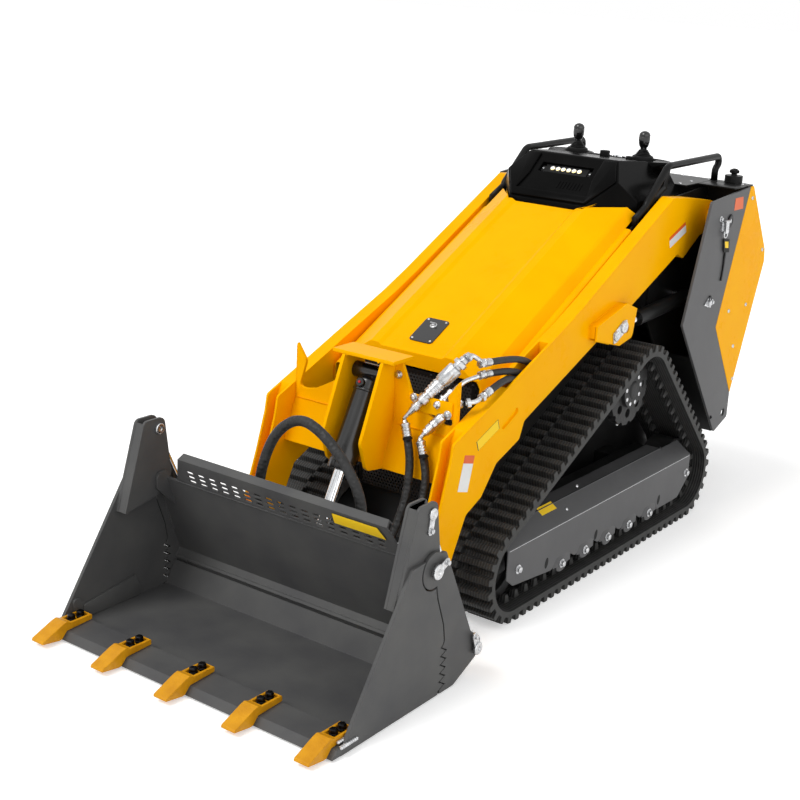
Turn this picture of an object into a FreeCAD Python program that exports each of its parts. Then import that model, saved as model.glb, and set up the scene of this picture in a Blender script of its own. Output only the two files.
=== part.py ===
"""Stand-on compact track loader with a four-in-one bucket.

Frame: X to the machine's left, -Y ahead of the machine, +Z up, in millimetres.
Lengths along Y are counted from the middle of the track loop. The origin of the
finished part is on the ground under the middle of its bounding box.
"""
import FreeCAD
import Part
import math
import os

Vec = FreeCAD.Vector

# ---------------------------------------------------------------- tracks
TRACK_WIDTH = 250.0
TRACK_CENTRE_X = 330.0
BELT_THICKNESS = 20.0
LUG_HEIGHT = 22.0
LUG_PITCH = 45.0
LUG_ROOT = 27.0
LUG_TIP = 20.0
IDLER_RADIUS = 128.0
SPROCKET_RADIUS = 133.0
FRONT_IDLER_Y = -640.0
REAR_IDLER_Y = 620.0
SPROCKET_Y = 190.0
SPROCKET_Z = 590.0
SPROCKET_NOTCHES = 13
NOTCH_DIAMETER = 26.0
NOTCH_OUTSET = 4.0
ROLLER_RADIUS = 58.0
ROLLER_COUNT = 5
ROLLER_PITCH = 160.0
FIRST_ROLLER_Y = -339.0
WHEEL_WIDTH = 90.0
AXLE_DIAMETER = 36.0
WHEEL_GAP = 0.3
COVER_THICKNESS = 5.0
COVER_INSET = 7.0
COVER_FRONT_Y = -695.0
COVER_CREASE_Z = 257.0
COVER_FOOT_Z = 100.0
COVER_BELT_GAP = 14.0
BEAM_GAP = 15.0
BEAM_HEIGHT = 129.0
ROLLER_BEAM_GAP = 8.0
TRACK_FRAME_WIDTH = 110.0

# ---------------------------------------------------------------- chassis
FRAME_HALF_WIDTH = 195.0
FRAME_WALL = 8.0
FRAME_FLOOR_Z = 130.0
FRAME_FRONT_Y = -640.0
FRAME_REAR_Y = 780.0
FRAME_REAR_Z = 560.0
FRONT_RIM_Z = 752.0
GRILLE_FOOT_Z = 303.0
GRILLE_KNEE_Z = 430.0
GRILLE_FOOT_HALF = 190.0
GRILLE_HALF = 250.0
GRILLE_SHEET = 3.0
GRILLE_MARGIN = 20.0
BAY_HALF_WIDTH = 298.0
BAY_REAR_Y = 430.0
TRACK_CLEARANCE = 45.0
TOWER_WALL = 10.0
TOWER_OUTER_X = 455.0
TOWER_FRONT_Y = 400.0
TOWER_WAIST_Z = 800.0
TOWER_FOOT_Y = 798.0
TOWER_FOOT_Z = 307.0
TIE_HOLE_Y = 868.0
TIE_HOLE_Z = 372.0
TIE_HOLE_DIAMETER = 30.0
BODY_REAR_Y = 1100.0
BODY_TOP_Z = 1263.0
DECK_THICKNESS = 6.0
PANEL_THICKNESS = 4.0
REAR_SHEET = 5.0

# ---------------------------------------------------------------- boom
BOOM_PIVOT_Y = 715.0
BOOM_PIVOT_Z = 1150.0
BOOM_PIN_DIAMETER = 38.0
ARM_INNER_X = 318.0
ARM_WIDTH = 50.0
ARM_PLATE = 8.0
BRACKET_OUTER_X = 400.0
TILT_PIVOT_Y = -1003.0
TILT_PIVOT_Z = 175.0
TILT_PIN_DIAMETER = 32.0
SLOT_HEIGHT = 20.0
POCKET_INNER_X = 326.0
POCKET_OUTER_X = 360.0
POCKET_FRONT_Y = -640.0
POCKET_REAR_Y = -400.0
POCKET_FLOOR_Z = 715.0
WING_FRONT_Y = -838.0
WING_THICKNESS = 12.0
COUPLER_DIAMETER = 40.0
SMALL_COUPLER_DIAMETER = 32.0
STRAP_THICKNESS = 6.0
BOOM_HOSE_DIAMETER = 22.0
BUCKET_HOSE_DIAMETER = 26.0
LOOP_HOSE_DIAMETER = 32.0
HOSE_PORT_Z = 165.0
NEAR_PORT_X = 215.0
FAR_PORT_X = 265.0
PORT_LEG = 40.0

# ---------------------------------------------------------------- cylinders
LIFT_EYE_Y = 72.0
LIFT_EYE_Z = 835.0
LIFT_BASE_Y = 610.0
LIFT_BASE_Z = 865.0
LIFT_BORE = 54.0
LIFT_ROD = 30.0
LIFT_PIN = 25.0
LIFT_BARREL_LENGTH = 400.0
LIFT_ROD_LENGTH = 480.0
LIFT_POCKET = 86.0
TILT_TOP_Y = -846.0
TILT_TOP_Z = 777.0
TILT_LUG_Y = -1086.0
TILT_LUG_Z = 305.0
TILT_BORE = 76.0
TILT_ROD = 38.0
TILT_PIN = 30.0
TILT_BARREL_LENGTH = 325.0
TILT_ROD_LENGTH = 445.0
JAW_BASE_Y = -1028.0
JAW_BASE_Z = 89.0
JAW_EYE_Y = -1278.0
JAW_EYE_Z = 576.0
JAW_BORE = 44.0
JAW_ROD = 25.0
JAW_PIN = 22.0
JAW_BARREL_LENGTH = 330.0
JAW_ROD_LENGTH = 370.0
JAW_NECK = 16.0
EYE_WALL = 11.0
PIN_GAP = 0.3
SIDE_GAP = 1.5

# ---------------------------------------------------------------- bucket
BUCKET_HALF_WIDTH = 554.0
BUCKET_PLATE = 10.0
BACK_SPLIT_Y = -1210.0
BOARD_TOP_Y = -1252.0
BOARD_TOP_Z = 408.0
BOARD_FOOT_Y = -1135.0
BOARD_FOOT_Z = 122.0
BOARD_HEEL_Y = -1155.0
BOARD_HEEL_Z = 94.0
CREASE_Y = -1200.0
JAW_REAR_TOP_Y = -1160.0
JAW_REAR_TOP_Z = 86.0
JAW_PIVOT_Y = -1265.0
JAW_PIVOT_Z = 408.0
JAW_PIVOT_DIAMETER = 40.0
FLOOR_FRONT_Y = -1655.0
GUARD_EDGE_Y = -1293.0
GUARD_EDGE_Z = 501.0
GUARD_TOP_Z = 518.0
GUARD_TOP_HALF = 396.0
GUARD_FOOT_HALF = 445.0
GUARD_ROWS = 3
GUARD_ROW_PITCH = 18.0
GUARD_FIRST_ROW = 20.0
GUARD_SLOTS = 17
GUARD_SLOT_PITCH = 46.0
GUARD_SLOT_LENGTH = 28.0
GUARD_SLOT_HEIGHT = 10.0
EDGE_FRONT_Y = -1690.0
EDGE_TOP_Z = 33.0
EDGE_DEPTH = 115.0
SPLIT_GAP = 5.0
SERRATIONS = 5
SERRATION_PITCH = 27.0
SERRATION_DEPTH = 27.0
SERRATION_TOP_Z = 152.0
SERRATION_GAP = 8.0
JAW_BOSS = 54.0
LEVER_PLATE = 9.0
JAW_EYE_WIDTH = 22.0
CYLINDER_INSET = 34.0
CYLINDER_X = BUCKET_HALF_WIDTH - CYLINDER_INSET
HITCH_GAP = 38.0
HITCH_FOOT_Z = 95.0
HITCH_TOP_Z = 385.0
HITCH_WINDOW_Z = 190.0
HITCH_PLATE = 14.0
HITCH_HALF_WIDTH = 420.0
EAR_PLATE = 14.0
TILT_ROD_EYE = 60.0
PORT_X = 138.0
PORT_FAR_X = 266.0
PORT_TOP_Z = 320.0
RIB_COUNT = 4
RIB_PITCH = 200.0
GUARD_SHEET = 5.0
TOOTH_COUNT = 5
TOOTH_END_INSET = 44.0
TOOTH_PITCH = 2 * (BUCKET_HALF_WIDTH - TOOTH_END_INSET) / (TOOTH_COUNT - 1)
TOOTH_WIDTH = 51.0
TOOTH_WALL = 9.0
TOOTH_TOP_Z = 54.0
TOOTH_TIP_Y = -1765.0
TOOTH_TIP_Z = 19.0
GROUND_GAP = 5.0

# ---------------------------------------------------------------- hood and console
HOOD_HALF_WIDTH = 284.0
HOOD_DROP = 105.0
RIM_GAP = 8.0
HOOD_SKIN = 5.0
HOOD_SKIRT_Z = 760.0
HOOD_FRONT_Y = -650.0
HOOD_SLOPE = 27.2
RIDGE_REAR_Y = 124.0
RIDGE_REAR_Z = 1213.0
RIDGE_HALF_WIDTH = 133.0
HOOD_CORNER_Y = 290.0
HOOD_HINGE_Y = 200.0
HOOD_HINGE_Z = 1215.0
HOOD_GAP = 8.0
HOOD_SWING_GAP = 19.0
HINGE_X = 100.0
HINGE_WIDTH = 12.0
HINGE_PIN = 12.0
CONSOLE_TOP_Z = 1370.0
CONSOLE_REAR_Y = 640.0
CONSOLE_FOOT_Z = 1217.0
CONSOLE_SLOPE = 40.2
CONSOLE_HALF_WIDTH = 276.0
CONSOLE_WALL = 7.0
LIGHT_Z = 1322.0
LIGHT_WIDTH = 210.0
LIGHT_HEIGHT = 44.0
LIGHT_SINK = 8.0
RAIL_X = 298.0
RAIL_DIAMETER = 26.0
GUIDE_DIAMETER = 24.0
STICK_X = 139.0
STICK_Y = 600.0
BEZEL_HEIGHT = 14.0
BOOT_HEIGHT = 26.0
GRIP_LENGTH = 65.0
GRIP_DIAMETER = 34.0

# ---------------------------------------------------------------- operator platform
PLATFORM_Z = 240.0
PLATFORM_HALF_WIDTH = 270.0
PLATFORM_FRONT_Y = 940.0
PLATFORM_REAR_Y = 1330.0
PLATFORM_THICKNESS = 30.0

SHIFT_Y = -(TOOTH_TIP_Y + PLATFORM_REAR_Y) / 2


# ---------------------------------------------------------------- helpers
def box(x0, x1, y0, y1, z0, z1):
    """Block between two corners."""
    return Part.makeBox(x1 - x0, y1 - y0, z1 - z0, Vec(x0, y0, z0))


def round_wire(points, place):
    """Closed wire through (a, b) or (a, b, radius) corners, placed by a function."""
    count = len(points)
    edges = []
    starts = []
    ends = []
    mids = []
    for i, corner in enumerate(points):
        here = Vec(corner[0], corner[1], 0)
        before = Vec(points[i - 1][0], points[i - 1][1], 0)
        after = Vec(points[(i + 1) % count][0], points[(i + 1) % count][1], 0)
        radius = corner[2] if len(corner) > 2 else 0.0
        if radius == 0.0:
            starts.append(here)
            ends.append(here)
            mids.append(None)
            continue
        back = (before - here).normalize()
        on = (after - here).normalize()
        half = back.getAngle(on) / 2
        reach = radius / math.tan(half)
        middle = (back + on).normalize()
        centre = here + middle * (radius / math.sin(half))
        starts.append(here + back * reach)
        ends.append(here + on * reach)
        mids.append(centre - middle * radius)
    for i in range(count):
        if mids[i] is not None:
            arc = Part.Arc(place(starts[i]), place(mids[i]), place(ends[i]))
            edges.append(arc.toShape())
        following = starts[(i + 1) % count]
        if (following - ends[i]).Length > 0.001:
            edges.append(Part.LineSegment(place(ends[i]), place(following)).toShape())
    return Part.Wire(edges)


def plate_x(points, x0, x1):
    """Plate with a (Y, Z) outline between two X planes."""
    wire = round_wire(points, lambda p: Vec(x0, p.x, p.y))
    return Part.Face(wire).extrude(Vec(x1 - x0, 0, 0))


def plate_y(points, y0, y1):
    """Plate with an (X, Z) outline between two Y planes."""
    wire = round_wire(points, lambda p: Vec(p.x, y0, p.y))
    return Part.Face(wire).extrude(Vec(0, y1 - y0, 0))


def plate_z(points, z0, z1):
    """Plate with an (X, Y) outline between two Z planes."""
    wire = round_wire(points, lambda p: Vec(p.x, p.y, z0))
    return Part.Face(wire).extrude(Vec(0, 0, z1 - z0))


def pin_x(x0, x1, y, z, diameter):
    """Round bar along X."""
    return Part.makeCylinder(diameter / 2, x1 - x0, Vec(x0, y, z), Vec(1, 0, 0))


def bar(start, end, diameter):
    """Round bar between two points."""
    run = end - start
    return Part.makeCylinder(diameter / 2, run.Length, start, run)


def strip(points, thickness, x0, x1):
    """Bent sheet: a (Y, Z) polyline thickened to its left, between two X planes."""
    left = []
    count = len(points)
    for i, (y, z) in enumerate(points):
        normals = []
        for a, b in ((i - 1, i), (i, i + 1)):
            if a < 0 or b >= count:
                continue
            dy = points[b][0] - points[a][0]
            dz = points[b][1] - points[a][1]
            length = math.hypot(dy, dz)
            normals.append((-dz / length, dy / length))
        ny = sum(n[0] for n in normals)
        nz = sum(n[1] for n in normals)
        size = math.hypot(ny, nz)
        ny, nz = ny / size, nz / size
        stretch = thickness / (ny * normals[0][0] + nz * normals[0][1])
        left.append((y + ny * stretch, z + nz * stretch))
    return plate_x(list(points) + left[::-1], x0, x1)


def mirrored(shape):
    """The same piece on the other side of the machine."""
    return shape.mirror(Vec(0, 0, 0), Vec(1, 0, 0))


def fuse(shapes):
    """One solid from touching pieces."""
    joined = shapes[0].multiFuse(list(shapes[1:]))
    merged = joined.removeSplitter()
    return merged if merged.isValid() else joined


def save(node, shapes):
    """Write one node's solids."""
    solids = []
    for shape in shapes:
        solids.extend(shape.Solids)
    body = solids[0].copy() if len(solids) == 1 else Part.makeCompound(solids)
    body.translate(Vec(0, SHIFT_Y, 0))
    if not body.isValid():
        raise ValueError(node + " is not valid")
    body.exportStep("parts/" + node + ".step")


# ---------------------------------------------------------------- track loop
def loop_circles(outset):
    """Centres and radii of the three bends of the loop, outset from the wheels."""
    idler_z = IDLER_RADIUS + BELT_THICKNESS + LUG_HEIGHT
    return [
        (FRONT_IDLER_Y, idler_z, IDLER_RADIUS + outset),
        (REAR_IDLER_Y, idler_z, IDLER_RADIUS + outset),
        (SPROCKET_Y, SPROCKET_Z, SPROCKET_RADIUS + outset),
    ]


def loop_tangents(outset):
    """Tangent points (start, end) of each straight run, counter-clockwise."""
    circles = loop_circles(outset)
    runs = []
    for i in range(3):
        ya, za, ra = circles[i]
        yb, zb, rb = circles[(i + 1) % 3]
        length = math.hypot(yb - ya, zb - za)
        along = math.atan2(zb - za, yb - ya)
        lean = along - math.pi / 2 - math.asin((rb - ra) / length)
        start = Vec(ya + ra * math.cos(lean), za + ra * math.sin(lean), 0)
        end = Vec(yb + rb * math.cos(lean), zb + rb * math.sin(lean), 0)
        runs.append((start, end, lean))
    return runs


def loop_face(outset, x):
    """Face of the loop at a distance outside the wheels."""
    circles = loop_circles(outset)
    runs = loop_tangents(outset)
    edges = []
    for i in range(3):
        start, end, lean = runs[i]
        following, _, next_lean = runs[(i + 1) % 3]
        yc, zc, radius = circles[(i + 1) % 3]
        turn = (next_lean - lean) % (2 * math.pi)
        middle = lean + turn / 2
        top = Vec(x, yc + radius * math.cos(middle), zc + radius * math.sin(middle))
        a = Vec(x, start.x, start.y)
        b = Vec(x, end.x, end.y)
        c = Vec(x, following.x, following.y)
        edges.append(Part.LineSegment(a, b).toShape())
        edges.append(Part.Arc(b, top, c).toShape())
    return Part.Face(Part.Wire(edges))


def loop_length():
    """Length of the belt's outer face round the loop."""
    total = 0.0
    runs = loop_tangents(BELT_THICKNESS)
    for i in range(3):
        start, end, lean = runs[i]
        turn = (runs[(i + 1) % 3][2] - lean) % (2 * math.pi)
        radius = loop_circles(BELT_THICKNESS)[(i + 1) % 3][2]
        total += (end - start).Length + turn * radius
    return total


def loop_place(station, shift, outset):
    """(Y, Z) at a station along the belt, shifted along it and outset from the wheels."""
    circles = loop_circles(BELT_THICKNESS)
    runs = loop_tangents(BELT_THICKNESS)
    rise = outset - BELT_THICKNESS
    rest = station % loop_length()
    for i in range(3):
        start, end, lean = runs[i]
        outward = Vec(math.cos(lean), math.sin(lean), 0)
        run = end - start
        if rest < run.Length:
            return start + run.normalize() * (rest + shift) + outward * rise
        rest -= run.Length
        yc, zc, radius = circles[(i + 1) % 3]
        sweep = ((runs[(i + 1) % 3][2] - lean) % (2 * math.pi)) * radius
        if rest < sweep:
            reach = radius + rise
            angle = lean + rest / radius + shift / reach
            return Vec(yc + reach * math.cos(angle), zc + reach * math.sin(angle), 0)
        rest -= sweep
    return runs[0][0]


def tread_face(phase, x):
    """Face inside the lugged outline of one row, its lugs moved on by a share of their pitch."""
    count = round(loop_length() / LUG_PITCH)
    pitch = loop_length() / count
    tip = BELT_THICKNESS + LUG_HEIGHT
    corners = []
    for i in range(count):
        station = (i + phase) * pitch
        corners.append(loop_place(station, -LUG_ROOT / 2, BELT_THICKNESS))
        corners.append(loop_place(station, -LUG_TIP / 2, tip))
        corners.append(loop_place(station, LUG_TIP / 2, tip))
        corners.append(loop_place(station, LUG_ROOT / 2, BELT_THICKNESS))
    corners.append(corners[0])
    return Part.Face(Part.makePolygon([Vec(x, c.x, c.y) for c in corners]))


def make_track():
    """Left track: one closed rubber loop with two staggered rows of lugs."""
    inner_x = TRACK_CENTRE_X - TRACK_WIDTH / 2
    half = Vec(TRACK_WIDTH / 2, 0, 0)
    inner_row = tread_face(0.0, inner_x).extrude(half)
    outer_row = tread_face(0.5, inner_x + half.x).extrude(half)
    inside = loop_face(WHEEL_GAP, inner_x).extrude(half * 2)
    return inner_row.fuse(outer_row).cut(inside)


def wheel(y, z, radius, width):
    """Wheel with a shallow dish on both faces and an axle bore."""
    disc = pin_x(TRACK_CENTRE_X - width / 2, TRACK_CENTRE_X + width / 2, y, z, 2 * radius)
    dish_depth = width / 5
    dish = 2 * radius * 0.7
    left = TRACK_CENTRE_X + width / 2
    right = TRACK_CENTRE_X - width / 2
    disc = disc.cut(pin_x(left - dish_depth, left, y, z, dish))
    disc = disc.cut(pin_x(right, right + dish_depth, y, z, dish))
    return disc.cut(pin_x(right, left, y, z, AXLE_DIAMETER + 2 * PIN_GAP))


def idler_z():
    """Height of the idler axles."""
    return loop_circles(0)[0][1]


def roller_places():
    """Axle places of the bottom rollers."""
    z = BELT_THICKNESS + LUG_HEIGHT + ROLLER_RADIUS + WHEEL_GAP
    return [(FIRST_ROLLER_Y + i * ROLLER_PITCH, z) for i in range(ROLLER_COUNT)]


def make_rollers():
    """Bottom rollers of the left track."""
    return [wheel(y, z, ROLLER_RADIUS, WHEEL_WIDTH) for y, z in roller_places()]


def make_idlers():
    """Front and rear idlers of the left track."""
    return [
        wheel(FRONT_IDLER_Y, idler_z(), IDLER_RADIUS, WHEEL_WIDTH),
        wheel(REAR_IDLER_Y, idler_z(), IDLER_RADIUS, WHEEL_WIDTH),
    ]


def make_sprocket():
    """Drive sprocket with lightening holes, on the motor's hub."""
    wall = WHEEL_WIDTH / 3
    x0 = TRACK_CENTRE_X + WHEEL_WIDTH / 2 - wall
    x1 = TRACK_CENTRE_X + WHEEL_WIDTH / 2
    disc = pin_x(x0, x1, SPROCKET_Y, SPROCKET_Z, 2 * SPROCKET_RADIUS)
    hole_ring = SPROCKET_RADIUS * 0.68
    for i in range(8):
        angle = i * math.pi / 4
        y = SPROCKET_Y + hole_ring * math.cos(angle)
        z = SPROCKET_Z + hole_ring * math.sin(angle)
        disc = disc.cut(pin_x(x0, x1, y, z, SPROCKET_RADIUS / 4))
    for i in range(SPROCKET_NOTCHES):
        angle = 2 * math.pi * i / SPROCKET_NOTCHES
        y = SPROCKET_Y + (SPROCKET_RADIUS + NOTCH_OUTSET) * math.cos(angle)
        z = SPROCKET_Z + (SPROCKET_RADIUS + NOTCH_OUTSET) * math.sin(angle)
        disc = disc.cut(pin_x(x0, x1, y, z, NOTCH_DIAMETER))
    hub = pin_x(FRAME_HALF_WIDTH, x1 + wall / 2, SPROCKET_Y, SPROCKET_Z, SPROCKET_RADIUS)
    return fuse([disc, hub])


def beam_top_z():
    """Height of the roller beam's top."""
    return roller_places()[0][1] + ROLLER_RADIUS + ROLLER_BEAM_GAP + BEAM_HEIGHT


def make_track_frame():
    """Left roller frame: a beam with the axles, and arms to the chassis."""
    beam_top = beam_top_z()
    beam_bottom = beam_top - BEAM_HEIGHT
    x0 = TRACK_CENTRE_X - TRACK_FRAME_WIDTH / 2
    x1 = TRACK_CENTRE_X + TRACK_FRAME_WIDTH / 2
    front = FRONT_IDLER_Y + IDLER_RADIUS + BEAM_GAP
    rear = REAR_IDLER_Y - IDLER_RADIUS - BEAM_GAP
    pieces = [box(x0, x1, front, rear, beam_bottom, beam_top)]
    cheek = 8.0
    for side in (x0, x1 - cheek):
        for y, z in roller_places():
            ear = [(y - 34, beam_bottom + 1), (y - 26, z - 26, 20), (y + 26, z - 26, 20), (y + 34, beam_bottom + 1)]
            pieces.append(plate_x(ear, side, side + cheek))
        for y, sign in ((FRONT_IDLER_Y, 1), (REAR_IDLER_Y, -1)):
            root = front if sign > 0 else rear
            fork = [
                (y - sign * 34, idler_z() - 34, 30),
                (y - sign * 34, idler_z() + 34, 30),
                (root + sign * 20, beam_top),
                (root + sign * 20, beam_bottom),
            ]
            pieces.append(plate_x(fork, side, side + cheek))
    for y, z in roller_places() + [(FRONT_IDLER_Y, idler_z()), (REAR_IDLER_Y, idler_z())]:
        pieces.append(pin_x(x0, x1, y, z, AXLE_DIAMETER))
    for y in (front + 120, rear - 120):
        pieces.append(box(FRAME_HALF_WIDTH, x0 + 1, y - 45, y + 45, beam_bottom + 10, beam_top - 10))
    return fuse(pieces)


def make_track_cover():
    """Left track guard: a folded sheet with a scalloped foot."""
    outer = TRACK_CENTRE_X + TRACK_WIDTH / 2 - COVER_INSET
    inner = outer - COVER_THICKNESS
    front = COVER_FRONT_Y
    rear = REAR_IDLER_Y
    foot = COVER_FOOT_Z
    crease_z = COVER_CREASE_Z
    beam_x = TRACK_CENTRE_X + TRACK_FRAME_WIDTH / 2
    face = [(front, crease_z), (front, 158), (front + 45, foot + 25, 20)]
    for y, z in roller_places():
        face.append((y - 62, foot, 20))
        face.append((y - 40, z + 34, 25))
        face.append((y + 40, z + 34, 25))
    face += [(roller_places()[-1][0] + 62, foot, 20), (rear - 80, foot, 20), (rear, 165), (rear, crease_z)]
    sheet = plate_x(face, inner, outer)
    top = beam_top_z()
    slope = [
        (outer, crease_z),
        (beam_x, top + COVER_THICKNESS),
        (beam_x, top),
        (inner, crease_z - COVER_THICKNESS),
    ]
    lid = plate_y(slope, front, rear)
    lid = lid.common(loop_face(-COVER_BELT_GAP, beam_x).extrude(Vec(TRACK_WIDTH, 0, 0)))
    flange_front = FRONT_IDLER_Y + IDLER_RADIUS + BEAM_GAP
    flange_rear = REAR_IDLER_Y - IDLER_RADIUS - BEAM_GAP
    flange = box(beam_x - 60, beam_x + 1, flange_front, flange_rear, top, top + COVER_THICKNESS)
    return fuse([sheet, lid, flange])


# ---------------------------------------------------------------- chassis
def shelf_line(y):
    """Height of the underside of the engine bay above the track."""
    start, end, _ = loop_tangents(BELT_THICKNESS + LUG_HEIGHT)[2]
    slope = (start.y - end.y) / (start.x - end.x)
    return end.y + slope * (y - end.x) + TRACK_CLEARANCE


def hood_plane(y):
    """Height of the hood's ridges."""
    return RIDGE_REAR_Z + math.tan(math.radians(HOOD_SLOPE)) * (y - RIDGE_REAR_Y)


def bay_rim(y):
    """Height of the engine bay's rim under the hood's edge."""
    return hood_plane(y) - HOOD_DROP - RIM_GAP


def frame_rim_z():
    """Height of the bay's level rim behind the hood."""
    return bay_rim(HOOD_CORNER_Y - 50)


def hood_rear_y(x):
    """Y of the hood's rear edge at a distance from the middle."""
    knee = RIDGE_HALF_WIDTH + 20
    share = max(0.0, (x - knee) / (HOOD_HALF_WIDTH - knee))
    return RIDGE_REAR_Y + share * (HOOD_CORNER_Y - RIDGE_REAR_Y)


def make_main_frame():
    """Welded tub between the tracks, widening above them into the engine bay."""
    crest = SPROCKET_Z + SPROCKET_RADIUS + BELT_THICKNESS + LUG_HEIGHT + TRACK_CLEARANCE
    knee_y = SPROCKET_Y - 40
    rim_rear_y = HOOD_CORNER_Y - 50
    low = [
        (FRAME_FRONT_Y + 60, FRAME_FLOOR_Z),
        (FRAME_FRONT_Y, FRAME_FLOOR_Z + 120),
        (FRAME_FRONT_Y, shelf_line(FRAME_FRONT_Y) + 20),
        (knee_y, crest + 20),
        (BAY_REAR_Y, crest + 20),
        (FRAME_REAR_Y, FRAME_REAR_Z),
        (FRAME_REAR_Y, FRAME_FLOOR_Z),
    ]
    high = [
        (FRAME_FRONT_Y, shelf_line(FRAME_FRONT_Y)),
        (FRAME_FRONT_Y, bay_rim(FRAME_FRONT_Y)),
        (rim_rear_y, frame_rim_z()),
        (BAY_REAR_Y, frame_rim_z()),
        (BAY_REAR_Y, crest),
        (knee_y, crest),
    ]
    outer = fuse([
        plate_x(low, -FRAME_HALF_WIDTH, FRAME_HALF_WIDTH),
        plate_x(high, -BAY_HALF_WIDTH, BAY_HALF_WIDTH),
    ])
    wall = FRAME_WALL
    low_inner = [
        (FRAME_FRONT_Y + 60 + wall, FRAME_FLOOR_Z + wall),
        (FRAME_FRONT_Y + wall, FRAME_FLOOR_Z + 120 + wall),
        (FRAME_FRONT_Y + wall, shelf_line(FRAME_FRONT_Y) + 40),
        (knee_y, crest + 40),
        (BAY_REAR_Y - wall, crest + 40),
        (BAY_REAR_Y - wall, crest),
        (FRAME_REAR_Y - wall, FRAME_REAR_Z - 2.5 * wall),
        (FRAME_REAR_Y - wall, FRAME_FLOOR_Z + wall),
    ]
    high_inner = [
        (FRAME_FRONT_Y + wall, shelf_line(FRAME_FRONT_Y) + 1.5 * wall),
        (FRAME_FRONT_Y + wall, bay_rim(FRAME_FRONT_Y) + 100),
        (rim_rear_y, bay_rim(rim_rear_y) + 100),
        (BAY_REAR_Y - wall, bay_rim(rim_rear_y) + 100),
        (BAY_REAR_Y - wall, crest + wall),
        (knee_y, crest + wall),
    ]
    hollow = fuse([
        plate_x(low_inner, wall - FRAME_HALF_WIDTH, FRAME_HALF_WIDTH - wall),
        plate_x(high_inner, wall - BAY_HALF_WIDTH, BAY_HALF_WIDTH - wall),
    ])
    brow_half = GRILLE_HALF + GRILLE_MARGIN
    front = FRAME_FRONT_Y
    brow_right = [(brow_half, bay_rim(front) - wall), (brow_half, bay_rim(front)), (GRILLE_HALF - 4, FRONT_RIM_Z)]
    brow = plate_y(brow_right + [(-x, z) for x, z in brow_right[::-1]], front, front + wall)
    window = plate_y(grille_outline(GRILLE_MARGIN), front - wall, front + 2 * wall)
    return outer.cut(hollow).fuse(brow).removeSplitter().cut(window)


def grille_outline(inset):
    """Outline of the front grille, or of the window behind it."""
    foot = GRILLE_FOOT_HALF - inset
    half = GRILLE_HALF - inset
    right = [
        (foot, GRILLE_FOOT_Z + inset),
        (foot, GRILLE_KNEE_Z + inset),
        (half, GRILLE_KNEE_Z + inset + half - foot),
        (half, FRONT_RIM_Z - inset),
    ]
    return right + [(-x, z) for x, z in right[::-1]]


def make_front_grille():
    """Perforated sheet over the window in the frame's front."""
    return plate_y(grille_outline(0), FRAME_FRONT_Y - GRILLE_SHEET, FRAME_FRONT_Y)


def make_engine_block():
    """Engine as one plain block standing on the tub's floor."""
    half = FRAME_HALF_WIDTH - FRAME_WALL - 30
    floor = FRAME_FLOOR_Z + FRAME_WALL
    return box(-half, half, -380, 120, floor, floor + 520)


def tower_outline():
    """Outline of the tower's outer plate."""
    return [
        (539, 1236, 12),
        (TOWER_FRONT_Y, TOWER_WAIST_Z, 12),
        (TOWER_FOOT_Y, TOWER_FOOT_Z, 12),
        (912, 345, 12),
        (910, 444),
        (698, 746),
        (875, BODY_TOP_Z),
    ]


def make_tower_plate():
    """Left outer tower plate, bored for the boom and lift pins."""
    plate = plate_x(tower_outline(), TOWER_OUTER_X - TOWER_WALL, TOWER_OUTER_X)
    x0 = TOWER_OUTER_X - TOWER_WALL
    plate = plate.cut(pin_x(x0, TOWER_OUTER_X, BOOM_PIVOT_Y, BOOM_PIVOT_Z, BOOM_PIN_DIAMETER))
    plate = plate.cut(pin_x(x0, TOWER_OUTER_X, TIE_HOLE_Y, TIE_HOLE_Z, TIE_HOLE_DIAMETER))
    return plate.cut(pin_x(x0, TOWER_OUTER_X, LIFT_BASE_Y, LIFT_BASE_Z, LIFT_PIN))


def make_tower_frame():
    """Left inner tower plate with the closing sheets behind the track and the arm."""
    x0 = BAY_HALF_WIDTH
    x1 = x0 + TOWER_WALL
    outer = TOWER_OUTER_X - TOWER_WALL
    inner_plate = [
        (539, 1236, 12),
        (TOWER_FRONT_Y, frame_rim_z() - 40),
        (TOWER_FRONT_Y, TOWER_WAIST_Z),
        (TOWER_FOOT_Y, TOWER_FOOT_Z),
        (890, 446),
        (BODY_REAR_Y - 20, 955, 20),
        (890, BODY_TOP_Z),
    ]
    plate = plate_x(inner_plate, x0, x1)
    plate = plate.cut(pin_x(x0, x1, BOOM_PIVOT_Y, BOOM_PIVOT_Z, BOOM_PIN_DIAMETER))
    plate = plate.cut(pin_x(x0, x1, LIFT_BASE_Y, LIFT_BASE_Z, LIFT_PIN))
    slope = (TOWER_FOOT_Z - TOWER_WAIST_Z) / (TOWER_FOOT_Y - TOWER_FRONT_Y)
    guard_top = (520, TOWER_WAIST_Z + slope * (520 - TOWER_FRONT_Y))
    guard = strip([guard_top, (TOWER_FOOT_Y, TOWER_FOOT_Z)], TOWER_WALL, FRAME_HALF_WIDTH, outer)
    wall = strip([(800, 780), (830, BODY_TOP_Z)], TOWER_WALL, x0, outer)
    return fuse([plate, guard, wall])


def make_side_panel():
    """Left rear side panel, flush with the tower plate."""
    outline = [
        (877, BODY_TOP_Z),
        (700, 746),
        (912, 446),
        (BODY_REAR_Y, 950, 20),
        (BODY_REAR_Y - 10, 1000, 20),
        (905, BODY_TOP_Z),
    ]
    return plate_x(outline, TOWER_OUTER_X - PANEL_THICKNESS, TOWER_OUTER_X)


def rear_outline():
    """Outside line of the rear body from the deck down to its foot."""
    return [(905, BODY_TOP_Z), (BODY_REAR_Y - 10, 1000), (BODY_REAR_Y, 950), (912, 446)]


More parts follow.
